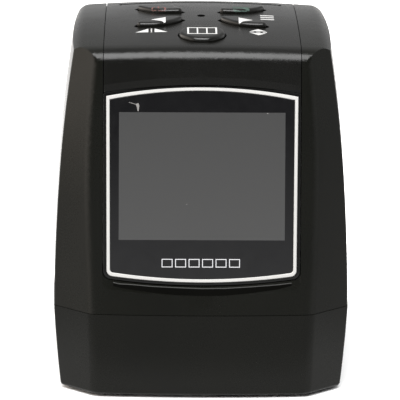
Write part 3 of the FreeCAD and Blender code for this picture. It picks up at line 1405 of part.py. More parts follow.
tray_back = val(panel_back) - 1.5
ribbon(
    "lcd_flex_cable",
    -7.0,
    7.0,
    eased([on_plane(46, tray_back - 0.16), on_plane(53, tray_back - 0.16), on_plane(56, tray_back - 4.0), (-16.0, 82.5), (10.0, 81.0), (26.5, 84.5), (29.82, 84.0), (29.82, 79.5)]),
    0.3,
)
ribbon("sensor_flex_cable", -4.0, 4.0, eased([(9.0, 75.37), (15.5, 75.37), (21.0, 77.6), (27.0, 76.0), (29.82, 74.0), (29.82, 69.5)]), 0.3)
ribbon("key_flex_cable", 12.0, 20.0, eased([(18.0, 92.23), (24.5, 92.23), (28.3, 91.0), (29.82, 88.0), (29.82, 83.5)]), 0.3)
ribbon("backlight_cable", 10.4, 13.6, eased([(12.0, 7.1), (21.0, 7.1), (32.5, 8.0), (34.7, 12.0), (34.7, 30.0), (34.7, 37.0), (32.8, 41.0), (32.2, 45.5)]), 0.9)

# -------------------------------------------------------------------- output
NODES = [
    "upper_housing",
    "top_panel",
    "rear_panel",
    "base_housing",
    "bottom_cover",
    "rubber_feet",
    "case_screws",
    "light_box",
    "led_board",
    "backlight_leds",
    "diffuser",
    "light_window",
    "film_gate",
    "detent_pin",
    "detent_spring",
    "optical_chamber",
    "lens_holder",
    "lens_barrel",
    "lens_elements",
    "sensor_mount",
    "ir_filter",
    "image_sensor",
    "sensor_board",
    "optics_screws",
    "bezel_frame",
    "trim_ring",
    "display_lens",
    "lcd_gasket",
    "lcd_panel",
    "lcd_frame",
    "lcd_bracket",
    "lcd_screws",
    "power_button",
    "menu_button",
    "left_button",
    "right_button",
    "scan_button",
    "power_plunger",
    "menu_plunger",
    "left_plunger",
    "right_plunger",
    "scan_plunger",
    "tact_switches",
    "key_board",
    "key_board_screws",
    "status_led",
    "light_pipe",
    "main_board",
    "board_chips",
    "main_board_screws",
    "usb_connector",
    "tv_jack",
    "sd_socket",
    "rear_screws",
    "lcd_flex_cable",
    "sensor_flex_cable",
    "key_flex_cable",
    "backlight_cable",
]

doc.recompute()
bad = []
for o in doc.Objects:
    if "Invalid" in o.State or "Error" in o.State:
        bad.append("%s (%s)" % (o.Name, o.State))
parts = {}
for name in NODES:
    found = [o for o in doc.Objects if o.Label == name]
    if len(found) != 1:
        bad.append("%s: %d objects carry this label" % (name, len(found)))
        continue
    shape = found[0].Shape
    if shape.isNull() or not shape.isValid() or not shape.Solids:
        bad.append("%s has no valid shape" % name)
        continue
    parts[name] = found[0]
if bad:
    raise RuntimeError("not written: " + "; ".join(bad))

os.makedirs("parts", exist_ok=True)
for name, o in parts.items():
    o.Shape.exportStep("parts/%s.step" % name)
    print("%-20s solids %d  volume %.1f" % (name, len(o.Shape.Solids), o.Shape.Volume))
for label, (place, normal, sx, sy) in BUTTONS.items():
    print("%s at %.3f %.3f %.3f along %.5f %.5f %.5f" % (label, place.Base.x, place.Base.y, place.Base.z, normal.x, normal.y, normal.z))
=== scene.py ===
import json
import math
import random

import bmesh
import bpy
import numpy as np
from mathutils import Matrix, Vector
from mathutils.bvhtree import BVHTree

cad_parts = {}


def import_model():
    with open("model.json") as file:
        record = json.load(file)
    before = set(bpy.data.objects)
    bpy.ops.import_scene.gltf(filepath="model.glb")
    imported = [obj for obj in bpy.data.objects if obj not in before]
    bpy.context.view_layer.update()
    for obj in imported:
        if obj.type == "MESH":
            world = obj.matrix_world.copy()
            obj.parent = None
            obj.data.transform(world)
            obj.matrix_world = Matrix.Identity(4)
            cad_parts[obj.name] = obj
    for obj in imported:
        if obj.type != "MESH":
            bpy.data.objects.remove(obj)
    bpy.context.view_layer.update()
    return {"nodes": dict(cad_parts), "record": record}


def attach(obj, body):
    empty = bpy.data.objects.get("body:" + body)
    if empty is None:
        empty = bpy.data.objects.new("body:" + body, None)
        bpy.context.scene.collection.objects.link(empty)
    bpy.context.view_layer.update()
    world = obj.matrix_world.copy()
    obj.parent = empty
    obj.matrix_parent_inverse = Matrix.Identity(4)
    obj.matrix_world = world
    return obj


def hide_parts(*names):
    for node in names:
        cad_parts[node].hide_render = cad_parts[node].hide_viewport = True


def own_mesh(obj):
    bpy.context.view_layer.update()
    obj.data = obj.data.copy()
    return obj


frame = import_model()
NODES = frame["nodes"]
MM = 0.001
scene = bpy.context.scene
scene.view_settings.view_transform = "Standard"
scene.view_settings.look = "None"


# ------------------------------------------------------------------ helpers
def link(obj):
    scene.collection.objects.link(obj)
    return obj


def make_mesh(name, verts, faces, mats, body="root", face_mats=None, smooth=None):
    """A new piece from millimetres, riding on a body."""
    me = bpy.data.meshes.new(name)
    me.from_pydata([Vector(v) * MM for v in verts], [], faces)
    me.validate()
    for m in mats if isinstance(mats, (list, tuple)) else [mats]:
        me.materials.append(m)
    if face_mats is not None:
        me.polygons.foreach_set("material_index", face_mats)
    obj = link(bpy.data.objects.new(name, me))
    if smooth is not None:
        soften(obj, smooth, weld=False)
    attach(obj, body)
    return obj


def angle_group():
    """Geometry nodes: smooth faces, sharp edges above an angle."""
    g = bpy.data.node_groups.get("smooth_by_edge_angle")
    if g:
        return g
    g = bpy.data.node_groups.new("smooth_by_edge_angle", "GeometryNodeTree")
    g.interface.new_socket("Geometry", in_out="INPUT", socket_type="NodeSocketGeometry")
    g.interface.new_socket("Angle", in_out="INPUT", socket_type="NodeSocketFloat")
    g.interface.new_socket("Geometry", in_out="OUTPUT", socket_type="NodeSocketGeometry")
    n, l = g.nodes, g.links
    gi, go = n.new("NodeGroupInput"), n.new("NodeGroupOutput")
    faces = n.new("GeometryNodeSetShadeSmooth")
    faces.domain = "FACE"
    edges = n.new("GeometryNodeSetShadeSmooth")
    edges.domain = "EDGE"
    edges.inputs["Shade Smooth"].default_value = False
    ang = n.new("GeometryNodeInputMeshEdgeAngle")
    cmp = n.new("FunctionNodeCompare")
    cmp.data_type = "FLOAT"
    cmp.operation = "GREATER_THAN"
    l.new(gi.outputs["Geometry"], faces.inputs["Geometry"])
    l.new(faces.outputs["Geometry"], edges.inputs["Geometry"])
    l.new(ang.outputs["Unsigned Angle"], cmp.inputs[0])
    l.new(gi.outputs["Angle"], cmp.inputs[1])
    l.new(cmp.outputs["Result"], edges.inputs["Selection"])
    l.new(edges.outputs["Geometry"], go.inputs["Geometry"])
    return g


def soften(obj, degrees=32.0, weld=True, bevel=0.0, segments=2, bevel_angle=40.0, weighted=True):
    """Welds the mesh, rounds its sharp edges a little and evens its normals."""
    if weld:
        w = obj.modifiers.new("weld", "WELD")
        w.merge_threshold = 2e-7
    if bevel > 0:
        b = obj.modifiers.new("round_edges", "BEVEL")
        b.width = bevel * MM
        b.segments = segments
        b.limit_method = "ANGLE"
        b.angle_limit = math.radians(bevel_angle)
        b.use_clamp_overlap = True
        b.harden_normals = False
    s = obj.modifiers.new("smooth_by_angle", "NODES")
    s.node_group = angle_group()
    for item in s.node_group.interface.items_tree:
        if item.item_type == "SOCKET" and item.in_out == "INPUT" and item.name == "Angle":
            s[item.identifier] = math.radians(degrees)
    if weighted:
        n = obj.modifiers.new("even_normals", "WEIGHTED_NORMAL")
        n.mode = "FACE_AREA"
        n.weight = 60
        n.keep_sharp = True


# ---------------------------------------------------------------- materials
class Shade:
    """Small wrapper that keeps node trees short to write."""

    def __init__(self, name):
        self.mat = bpy.data.materials.new(name)
        self.mat.use_nodes = True
        self.tree = self.mat.node_tree
        self.nodes, self.links = self.tree.nodes, self.tree.links
        self.bsdf = next(n for n in self.nodes if n.type == "BSDF_PRINCIPLED")
        self.coord = self.new("ShaderNodeTexCoord").outputs["Object"]

    def new(self, kind, **props):
        n = self.nodes.new(kind)
        for k, v in props.items():
            setattr(n, k, v)
        return n

    def put(self, socket, value):
        if isinstance(value, bpy.types.NodeSocket):
            self.links.new(value, socket)
        else:
            socket.default_value = value

    def set(self, **values):
        names = {
            "color": "Base Color", "rough": "Roughness", "metal": "Metallic", "spec": "Specular IOR Level",
            "ior": "IOR", "coat": "Coat Weight", "coat_rough": "Coat Roughness", "alpha": "Alpha",
            "transmission": "Transmission Weight", "normal": "Normal", "glow": "Emission Color",
            "glow_strength": "Emission Strength", "sheen": "Sheen Weight", "sub": "Subsurface Weight",
        }
        for k, v in values.items():
            self.put(self.bsdf.inputs[names[k]], v)
        return self

    def noise(self, scale, detail=2.0, rough=0.5, vector=None, stretch=None):
        n = self.new("ShaderNodeTexNoise")
        n.inputs["Scale"].default_value = scale
        n.inputs["Detail"].default_value = detail
        n.inputs["Roughness"].default_value = rough
        v = vector or self.coord
        if stretch:
            m = self.new("ShaderNodeMapping")
            m.inputs["Scale"].default_value = stretch
            self.links.new(v, m.inputs["Vector"])
            v = m.outputs["Vector"]
        self.links.new(v, n.inputs["Vector"])
        return n.outputs["Fac"]

    def voronoi(self, scale, feature="F1"):
        n = self.new("ShaderNodeTexVoronoi", feature=feature)
        n.inputs["Scale"].default_value = scale
        self.links.new(self.coord, n.inputs["Vector"])
        return n.outputs["Distance"]

    def ramp(self, fac, stops):
        n = self.new("ShaderNodeValToRGB")
        e = n.color_ramp.elements
        while len(e) < len(stops):
            e.new(0.5)
        for el, (pos, c) in zip(e, stops):
            el.position = pos
            el.color = (c, c, c, 1) if isinstance(c, (int, float)) else (*c, 1)
        self.links.new(fac, n.inputs["Fac"])
        return n.outputs["Color"]

    def range(self, fac, a, b, c, d, smooth=False):
        n = self.new("ShaderNodeMapRange")
        if smooth:
            n.interpolation_type = "SMOOTHSTEP"
        for k, v in zip(("From Min", "From Max", "To Min", "To Max"), (a, b, c, d)):
            n.inputs[k].default_value = v
        self.links.new(fac, n.inputs["Value"])
        return n.outputs["Result"]

    def math(self, op, a, b=0.0, clamp=False):
        n = self.new("ShaderNodeMath", operation=op, use_clamp=clamp)
        self.put(n.inputs[0], a)
        self.put(n.inputs[1], b)
        return n.outputs[0]

    def mix(self, fac, a, b):
        n = self.new("ShaderNodeMix", data_type="RGBA")
        self.put(n.inputs["Factor"], fac)
        self.put(n.inputs[6], a)
        self.put(n.inputs[7], b)
        return n.outputs[2]

    def bump(self, height, strength, distance, normal=None):
        n = self.new("ShaderNodeBump")
        n.inputs["Strength"].default_value = strength
        n.inputs["Distance"].default_value = distance
        self.links.new(height, n.inputs["Height"])
        if normal is not None:
            self.links.new(normal, n.inputs["Normal"])
        return n.outputs["Normal"]

    def xyz(self):
        n = self.new("ShaderNodeSeparateXYZ")
        self.links.new(self.coord, n.inputs[0])
        return n.outputs


def grey(v):
    return (v, v, v, 1.0)


def moulded(name, dark, light, rough, spec=0.35, grain=2600.0, grain_depth=0.004, specks=True, coat=0.0):
    """Dark moulded plastic: fine spark-eroded grain, slow tone drift, a little dust."""
    s = Shade(name)
    drift = s.noise(38.0, 3.0, 0.55)
    fine = s.noise(grain, 3.0, 0.6)
    col = s.mix(s.range(drift, 0.3, 0.7, 0.0, 1.0), dark, light)
    if specks:
        dust = s.voronoi(620.0)
        mask = s.range(dust, 0.0, 0.035, 1.0, 0.0, smooth=True)
        patch = s.range(s.noise(55.0, 2.0), 0.56, 0.7, 0.0, 0.5, smooth=True)
        col = s.mix(s.math("MULTIPLY", mask, patch), col, (0.16, 0.15, 0.14, 1.0))
    smudge = s.noise(24.0, 4.0, 0.6, stretch=(1.0, 1.0, 0.45))
    r = s.math("ADD", s.range(smudge, 0.3, 0.72, rough - 0.045, rough + 0.05), s.range(fine, 0.3, 0.7, -0.02, 0.02))
    s.set(color=col, rough=r, spec=spec, normal=s.bump(fine, 0.28, grain_depth * MM))
    if coat:
        s.set(coat=coat, coat_rough=0.08)
    return s.mat


def plain(name, color, rough, metal=0.0, spec=0.5, wear=0.06, grain=900.0, bump=0.12, depth=0.003, coat=0.0, stretch=None):
    s = Shade(name)
    n1 = s.noise(grain, 3.0, 0.6, stretch=stretch)
    n2 = s.noise(45.0, 3.0, 0.5)
    a = tuple(min(1.0, c * (1 - wear)) for c in color) + (1.0,)
    b = tuple(min(1.0, c * (1 + wear)) for c in color) + (1.0,)
    col = s.mix(s.range(n2, 0.3, 0.7, 0.0, 1.0), a, b)
    s.set(color=col, rough=s.range(n1, 0.3, 0.7, rough - 0.04, rough + 0.04), metal=metal, spec=spec)
    s.set(normal=s.bump(n1, bump, depth * MM))
    if coat:
        s.set(coat=coat, coat_rough=0.06)
    return s.mat


M = {}
M["housing_black"] = moulded("housing_plastic", (0.0010, 0.0011, 0.0006, 1), (0.0015, 0.0016, 0.0009, 1), 0.27, spec=0.155)
M["base_black"] = moulded("base_plastic", (0.0010, 0.0011, 0.0006, 1), (0.0015, 0.0016, 0.0009, 1), 0.27, spec=0.125)
M["top_panel_black"] = moulded("top_panel_plastic", (0.0012, 0.0012, 0.0009, 1), (0.0016, 0.0016, 0.0013, 1), 0.27, spec=0.17)
M["bezel_black"] = moulded("bezel_plastic", (0.0014, 0.0014, 0.0013, 1), (0.0019, 0.0019, 0.0018, 1), 0.2, spec=0.2, grain=3500, grain_depth=0.002)
M["button_black"] = moulded("button_plastic", (0.0016, 0.0016, 0.0013, 1), (0.0022, 0.0022, 0.0018, 1), 0.24, spec=0.2, specks=False)
M["trim_silver"] = plain("trim_silver_paint", (0.30, 0.297, 0.289), 0.42, metal=0.25, grain=5200, bump=0.2, depth=0.002, wear=0.03)
M["lens_black"] = plain("lens_black_print", (0.0036, 0.0036, 0.0039), 0.07, spec=0.32, bump=0.02, grain=300, depth=0.002)
M["foot_rubber"] = plain("rubber", (0.02, 0.02, 0.02), 0.75, spec=0.25, grain=1800, bump=0.35)
M["screw_steel"] = plain("zinc_steel", (0.15, 0.15, 0.155), 0.36, metal=1.0, grain=2600)
M["plate_steel"] = plain("tinned_steel", (0.34, 0.335, 0.33), 0.3, metal=1.0, grain=2200, stretch=(0.2, 1, 1))
M["board_green"] = plain("solder_resist", (0.012, 0.075, 0.03), 0.28, grain=1400)
M["chip_black"] = plain("chip_moulding", (0.02, 0.02, 0.021), 0.5)
M["led_white"] = plain("lamp_resin", (0.82, 0.8, 0.62), 0.3)
M["reflector_white"] = plain("reflector_white", (0.78, 0.78, 0.76), 0.55)
M["inner_black"] = plain("light_trap_plastic", (0.008, 0.008, 0.008), 0.5, spec=0.3)
M["plunger_grey"] = plain("plunger_grey", (0.2, 0.2, 0.21), 0.45)
M["flex_amber"] = plain("flex_film", (0.36, 0.14, 0.03), 0.3)
M["light_pipe_clear"] = plain("light_pipe_resin", (0.012, 0.012, 0.013), 0.2)


def clear_glass():
    s = Shade("clear_glass")
    s.set(color=(0.93, 0.96, 0.95, 1), rough=s.range(s.noise(60.0), 0.3, 0.7, 0.02, 0.05), transmission=0.85, ior=1.5)
    return s.mat


def lcd_glass():
    """Switched-off panel behind clear acrylic: grey with painted shade that darkens it a touch towards the top, faint
    mottling.
    """
    s = Shade("display_off_grey")
    z = s.xyz()[2]
    # painted shade: the grey is a touch darker towards the top of the window
    up = s.range(z, 0.046, 0.083, 0.0, 1.0)
    cloud = s.noise(70.0, 4.0, 0.55)
    a = s.mix(up, (0.0290, 0.0292, 0.0292, 1), (0.0255, 0.0257, 0.0257, 1))
    col = s.mix(s.range(cloud, 0.35, 0.65, 0.0, 0.35), a, (0.0270, 0.0272, 0.0272, 1))
    s.set(color=col, rough=s.range(s.noise(900.0, 2.0), 0.3, 0.7, 0.10, 0.15), spec=0.3)
    return s.mat


M["clear_glass"] = clear_glass()
M["lcd_grey"] = lcd_glass()

slot_of = {p["node"]: p["material_slot"] for p in frame["record"]["subparts"]}
BEVEL = {"bezel_frame": 0.0, "rear_panel": 0.12, "bottom_cover": 0.15, "light_box": 0.1, "film_gate": 0.12,
         "optical_chamber": 0.1, "main_board": 0.05, "usb_connector": 0.05, "sd_socket": 0.06, "tv_jack": 0.1}
for name, obj in NODES.items():
    me = obj.data
    me.materials.clear()
    me.materials.append(M[slot_of[name]])
    soften(obj, 30.0, bevel=BEVEL.get(name, 0.0))

# --------------------------------------------------------- display's plane
# local x across, s up the leaning plane, n out of it, in millimetres
LEAN = math.radians(12.0)
UPV = Vector((0, math.sin(LEAN), math.cos(LEAN)))
OUTV = Vector((0, -math.cos(LEAN), math.sin(LEAN)))
P0 = Vector((0, -42.88 + 1.7 * math.cos(LEAN), 25.5 - 1.7 * math.sin(LEAN)))


def on_plane(x, s, n):
    return P0 + Vector((x, 0, 0)) + UPV * s + OUTV * n


def arc_points(h, base, top, count):
    """Circular arc from (-h, base) over (0, top) to (h, base)."""
    sag = top - base
    r = (h * h + sag * sag) / (2 * abs(sag))
    sign = 1 if sag > 0 else -1
    a = math.asin(h / r)
    return [
        (r * math.sin(t), top - sign * (r - r * math.cos(t)))
        for t in (a * (2 * i / count - 1) for i in range(count + 1))
    ]


def screen_outline(half_low, half_top, low, rise, top, fall, radius, count=48):
    """The display's outline: bowed top and bottom, rounded lower corners. Anticlockwise from the lower left."""
    yl, yt = low + rise, top - fall
    kx = half_low - radius
    kl = rise / half_low**2
    b1 = (kx, low + kl * kx * kx)
    d = Vector((half_top - half_low, yt - yl)).normalized()
    b2 = (half_low + d.x * radius, yl + d.y * radius)
    ta = Vector((1, 2 * kl * kx)).normalized()
    det = -ta.x * d.y + d.x * ta.y
    dx, dy = b2[0] - b1[0], b2[1] - b1[1]
    u = (-dx * d.y + d.x * dy) / det * 0.56
    w = (ta.y * dx - ta.x * dy) / det * 0.56
    q = [b1, (b1[0] + ta.x * u, b1[1] + ta.y * u), (b2[0] - d.x * w, b2[1] - d.y * w), b2]

    def bez(t):
        a, b, c, e = (1 - t) ** 3, 3 * t * (1 - t) ** 2, 3 * t * t * (1 - t), t**3
        return tuple(a * q[0][k] + b * q[1][k] + c * q[2][k] + e * q[3][k] for k in (0, 1))

    low_arc = arc_points(kx, b1[1], low, count)
    bend = [bez(i / 8) for i in range(1, 9)]
    side = [(b2[0] + (half_top - b2[0]) * i / 10, b2[1] + (yt - b2[1]) * i / 10) for i in range(1, 10)]
    top_arc = arc_points(half_top, yt, top, count)[::-1]
    left = [(-x, y) for x, y in (bend + side)][::-1]
    return low_arc + bend + side + top_arc + left


def display_window():
    """Clear front with a black print on its back: one sheet, printed border and open window in one plane."""
    inset = 0.97
    h = 27.35 - inset
    out = screen_outline(h - 0.25, h, 9.54 + inset, 2.0, 65.28 - inset, 2.58, max(1.5 - inset * 0.7, 0.5))
    bm = bmesh.new()

    def ring(pts, n):
        return [bm.verts.new(on_plane(x, y, n) * MM) for x, y in pts]

    cx, cy = 0.0, 37.5
    inner = [(x * (1 - 0.12 / 27) + cx * 0.12 / 27, y + (cy - y) * 0.12 / 27) for x, y in out]
    low, rim, top = ring(out, 0.02), ring(out, 0.87), ring(inner, 0.95)
    for a, b in ((low, rim), (rim, top)):
        for i in range(len(a)):
            j = (i + 1) % len(a)
            bm.faces.new((a[i], a[j], b[j], b[i]))
    rect = [(-23.7, 21.7), (23.7, 21.7), (23.7, 58.15), (-23.7, 58.15)]
    w = ring(rect, 0.95)
    edges = []
    for loop in (top, w):
        for i in range(len(loop)):
            pair = (loop[i], loop[(i + 1) % len(loop)])
            e = bm.edges.get(pair)
            edges.append(e if e else bm.edges.new(pair))
    filled = bmesh.ops.triangle_fill(bm, edges=edges, use_beauty=True)
    for f in filled["geom"]:
        if isinstance(f, bmesh.types.BMFace):
            c = f.calc_center_median()
            local = (c / MM - P0).dot(UPV)
            inside = abs(c.x / MM) < 23.7 and 21.7 < local < 58.15
            if inside:
                f.material_index = 1
    if not any(f.material_index for f in bm.faces):
        face = bm.faces.new(w)
        face.material_index = 1
    bm.faces.new(list(reversed(low)))
    bmesh.ops.recalc_face_normals(bm, faces=bm.faces)
    me = bpy.data.meshes.new("display_window")
    bm.to_mesh(me)
    bm.free()
    me.materials.append(M["lens_black"])
    me.materials.append(M["lcd_grey"])
    obj = link(bpy.data.objects.new("display_window", me))
    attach(obj, "root")
    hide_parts("display_lens")


display_window()

# ---------------------------------------------------------------- printed marks
M["print_white"] = plain("print_white", (0.31, 0.31, 0.306), 0.5, spec=0.3, wear=0.08, grain=4000, bump=0.1, depth=0.002)
M["print_dim"] = plain("print_grey", (0.30, 0.30, 0.31), 0.5, spec=0.3, wear=0.08, grain=4000, bump=0.1, depth=0.002)
# painted shade: a black disc that darkens the lamp hole
M["hole_shade_paint"] = plain("dark_hole_painted_shade", (0.0012, 0.0012, 0.0012), 0.9, spec=0.0, wear=0.05, grain=4000, bump=0.05, depth=0.001)
# painted shade: a dark strip laid along the groove behind the petals
M["groove_strip_painted_shade"] = plain("groove_shade", (0.0016, 0.0016, 0.0015), 0.9, spec=0.0, wear=0.1, grain=4000, bump=0.1, depth=0.001)
# painted shade for the hollow under the display and a painted highlight for the bead's edge above it
M["lip_shade"] = plain("lip_shade", (0.0017, 0.0017, 0.0015), 0.7, spec=0.0, wear=0.1, grain=2600, bump=0.1, depth=0.002)
M["lip_light"] = plain("lip_painted_highlight", (0.023, 0.023, 0.022), 0.35, spec=0.3, wear=0.1, grain=2600, bump=0.1, depth=0.002)
M["print_wear"] = plain("scuffed_print", (0.13, 0.125, 0.12), 0.6, spec=0.3, wear=0.3, grain=6000, bump=0.3, depth=0.002)
M["print_red"] = plain("print_red", (0.07, 0.025, 0.022), 0.5, spec=0.3, wear=0.08, grain=4000, bump=0.1, depth=0.002)
M["print_green"] = plain("print_green", (0.028, 0.052, 0.041), 0.5, spec=0.3, wear=0.08, grain=4000, bump=0.1, depth=0.002)

_trees = {}


def tree_of(node):
    if node not in _trees:
        me = NODES[node].data
        _trees[node] = BVHTree.FromPolygons([v.co.copy() for v in me.vertices], [tuple(p.vertices) for p in me.polygons])
    return _trees[node]


def drop(node, x, y):
    """Height of a node's upper surface over a point, in millimetres."""
    hit = tree_of(node).ray_cast(Vector((x * MM, y * MM, 0.2)), Vector((0, 0, -1)))
    return hit[0].z / MM if hit[0] else -1000.0


def rect_poly(x0, x1, y0, y1):
    return [(x0, y0), (x1, y0), (x1, y1), (x0, y1)]


def ring_polys(cx, cy, r, w, count=28, a0=0.0, a1=360.0):
    out = []
    for i in range(count):
        a, b = (math.radians(a0 + (a1 - a0) * k / count) for k in (i, i + 1))
        out.append([
            (cx + r * math.cos(a), cy + r * math.sin(a)), (cx + r * math.cos(b), cy + r * math.sin(b)),
            (cx + (r - w) * math.cos(b), cy + (r - w) * math.sin(b)), (cx + (r - w) * math.cos(a), cy + (r - w) * math.sin(a)),
        ])
    return out


def printed(name, polys, place, body, mat, thick=0.02, fine=0.5):
    """Thin print: each polygon is cut fine enough to lie on the curved surface that place() gives."""
    bm = bmesh.new()
    for poly in polys:
        area = sum(a[0] * b[1] - b[0] * a[1] for a, b in zip(poly, poly[1:] + poly[:1]))
        bm.faces.new([bm.verts.new((x, y, 0.0)) for x, y in (poly[::-1] if area < 0 else poly)])
    bmesh.ops.triangulate(bm, faces=bm.faces[:])
    for _ in range(4):
        long = [e for e in bm.edges if e.calc_length() > fine]
        if not long:
            break
        bmesh.ops.subdivide_edges(bm, edges=long, cuts=1)
        bmesh.ops.triangulate(bm, faces=bm.faces[:])
    bm.verts.index_update()
    flat = [(v.co.x, v.co.y) for v in bm.verts]
    n = len(flat)
    verts = [place(x, y, 0.012) for x, y in flat] + [place(x, y, 0.012 + thick) for x, y in flat]
    faces = [tuple(v.index + n for v in f.verts) for f in bm.faces]
    faces += [tuple(v.index for v in reversed(f.verts)) for f in bm.faces]
    for e in bm.edges:
        if e.is_boundary:
            loop = e.link_loops[0]
            a, b = loop.vert.index, loop.link_loop_next.vert.index
            faces.append((a, b, b + n, a + n))
    bm.free()
    return make_mesh(name, verts, faces, M[mat], body)


def on_top(node, cx=None, cy=None, fall=0.9):
    """Points lie on the node's top; one that would fall off its edge is pulled towards the centre."""

    def place(x, y, h):
        z = drop(node, x, y)
        if cx is not None:
            top = drop(node, cx, cy)
            for k in range(1, 30):
                if z > top - fall:
                    break
                t = 1.0 - k / 30.0
                z = drop(node, cx + (x - cx) * t, cy + (y - cy) * t)
                if z > top - fall:
                    x, y = cx + (x - cx) * t, cy + (y - cy) * t
        return (x, y, z + h)

    return place


def on_window(x, y, h):
    return on_plane(x, y, 0.95 + h)


def frame_polys(x0, x1, y0, y1, w):
    """A hollow box of four bars."""
    return [rect_poly(x0, x1, y0, y0 + w), rect_poly(x0, x1, y1 - w, y1), rect_poly(x0, x0 + w, y0 + w, y1 - w), rect_poly(x1 - w, x1, y0 + w, y1 - w)]


# arrows on the two near petals
printed("left_arrow", [[(-14.7, -1.7), (-10.5, 1.0), (-10.5, -4.2)]], on_top("left_button", -12.2, -0.8), "left_key", "print_white")
printed("right_arrow", [[(14.9, -1.8), (10.8, -4.3), (10.8, 0.9)]], on_top("right_button", 12.2, -0.8), "right_key", "print_white")
# a ring with a bar and a row of bars on the two far petals
power = ring_polys(-12.6, 13.6, 2.3, 0.5, 24, 120, 420) + [rect_poly(-12.85, -12.35, 13.8, 16.6)]
printed("power_mark", power, on_top("power_button", -12.2, 16.6), "power_key", "print_red")
bars = [rect_poly(9.4, 14.4, y, y + 0.75) for y in (12.0, 13.7, 15.4)]
printed("list_mark", bars, on_top("menu_button", 12.2, 16.6), "menu_key", "print_green")
# small plain signs beside the petals: two triangles about a broken line, for turning a picture left to right
cx, cy = -14.6, -9.0
mirror_sign = [
    [(cx - 4.6, cy - 1.9), (cx - 0.9, cy - 1.9), (cx - 0.9, cy + 1.9)],
    [(cx + 4.6, cy - 1.9), (cx + 0.9, cy + 1.9), (cx + 0.9, cy - 1.9)],
] + [rect_poly(cx - 0.2, cx + 0.2, cy - 2.0 + k * 1.45, cy - 1.0 + k * 1.45) for k in range(3)]
printed("mirror_sign", mirror_sign, on_top("top_panel", -14.6, -9.6, 0.35), "root", "print_white")
# the same sign turned round, for turning a picture over
cx, cy = 16.3, -10.2
flip_sign = [
    [(cx - 2.3, cy - 1.0), (cx, cy - 3.2), (cx + 2.3, cy - 1.0)],
    [(cx - 2.3, cy + 1.0), (cx + 2.3, cy + 1.0), (cx, cy + 3.2)],
] + [rect_poly(cx - 2.5 + k * 1.9, cx - 1.3 + k * 1.9, cy - 0.35, cy + 0.35) for k in range(3)]
printed("flip_sign", flip_sign, on_top("top_panel", 16.3, -10.6, 0.35), "root", "print_white")
# three bars beside the far right petal
bars = [rect_poly(17.4, 21.4, y, y + 1.1) for y in (4.8, 7.4, 10.0)]
printed("list_sign", bars, on_top("top_panel", 20.6, 7.6, 0.35), "root", "print_white")
# a piece of film with three pictures on the round key
film = frame_polys(-4.3, 4.3, -17.6, -11.2, 0.5)
film += [rect_poly(x - 0.2, x + 0.2, -17.1, -11.7) for x in (-1.35, 1.35)]
printed("film_sign", film, on_top("scan_button", 0.0, -14.4), "scan_key", "print_white")

# the unlit lamp hole between the petals, darkened by a black disc of painted shade over its dark light pipe, and
# painted shade along the bottom of the groove behind them
pipe = [v.co / MM for v in NODES["light_pipe"].data.vertices]
px_, py_ = (0.5 * (min(v[k] for v in pipe) + max(v[k] for v in pipe)) for k in (0, 1))
rim = drop("top_panel", px_ + 2.6, py_)
hole = [(px_ + 1.15 * math.cos(2 * math.pi * k / 24), py_ + 1.3 * math.sin(2 * math.pi * k / 24)) for k in range(24)]
# painted shade: a black disc at the rim over the lamp hole and its light pipe
printed("lamp_disc_painted_shade", [hole], lambda x, y, h: (x, y, rim + 0.03 + h), "root", "hole_shade_paint")

GROOVE = 174.0


def groove_line(x, d):
    return (x, 32.9 - GROOVE + math.sqrt((GROOVE + d) ** 2 - x * x))


def over_groove(x, y, h):
    return (x, y, 0.5 * (drop("top_panel", x, y - 1.3) + drop("top_panel", x, y + 1.3)) + h)


steps = [-23.7 + 47.4 * k / 48 for k in range(49)]
groove = [[groove_line(a, -0.6), groove_line(b, -0.6), groove_line(b, 0.6), groove_line(a, 0.6)] for a, b in zip(steps, steps[1:])]
groove += [rect_poly(x - 0.5, x + 0.5, 29.6, 32.0) for x in (-23.9, 23.9)]
# painted shade: a dark strip riding in the groove, standing in for its shade
printed("groove_shade", groove, over_groove, "root", "groove_strip_painted_shade", fine=0.9)

# a row of film pictures under the display
row = []
for k in range(6):
    x = -11.4 + k * 3.85
    row += frame_polys(x, x + 3.1, 13.9, 16.3, 0.22)
printed("film_row", row, on_window, "root", "print_dim")

# the raised bead under the display, drawn as a thin strip with a painted highlight, and painted shade over the hollow
# below it
def on_front(x, y, h):
    start = on_plane(x, y, 6.0) * MM
    near = 6.0
    hits = [tree_of(node).ray_cast(start, -OUTV)[3] for node in ("upper_housing", "bezel_frame")]
    hits = [d / MM for d in hits if d is not None]
    return on_plane(x, y, near - min(hits) + h if hits else 0.0)


BEAD = [(-25.2, 9.15), (-23.3, 8.75), (-20.5, 8.65), (-14.7, 8.15), (-7.4, 7.8), (0.0, 7.55), (7.2, 7.65), (14.4, 8.1), (21.6, 8.65), (25.8, 9.15)]
HOLLOW = [(-25.2, 8.15), (-23.3, 7.65), (-20.5, 7.25), (-14.7, 6.4), (-7.4, 5.7), (0.0, 5.45), (7.2, 5.6), (14.4, 6.3), (21.6, 7.3), (25.8, 8.4)]


def along(curve, x):
    for (x0, y0), (x1, y1) in zip(curve, curve[1:]):
        if x <= x1:
            return y0 + (y1 - y0) * (x - x0) / (x1 - x0) + 0.34
    return curve[-1][1] + 0.34


steps = [-25.2 + 51.0 * k / 60 for k in range(61)]
hollow = [[(a, along(HOLLOW, a)), (b, along(HOLLOW, b)), (b, along(BEAD, b) - 0.1), (a, along(BEAD, a) - 0.1)] for a, b in zip(steps, steps[1:])]
bead = [[(a, along(BEAD, a) - 0.12), (b, along(BEAD, b) - 0.12), (b, along(BEAD, b) + 0.12), (a, along(BEAD, a) + 0.12)] for a, b in zip(steps, steps[1:])]
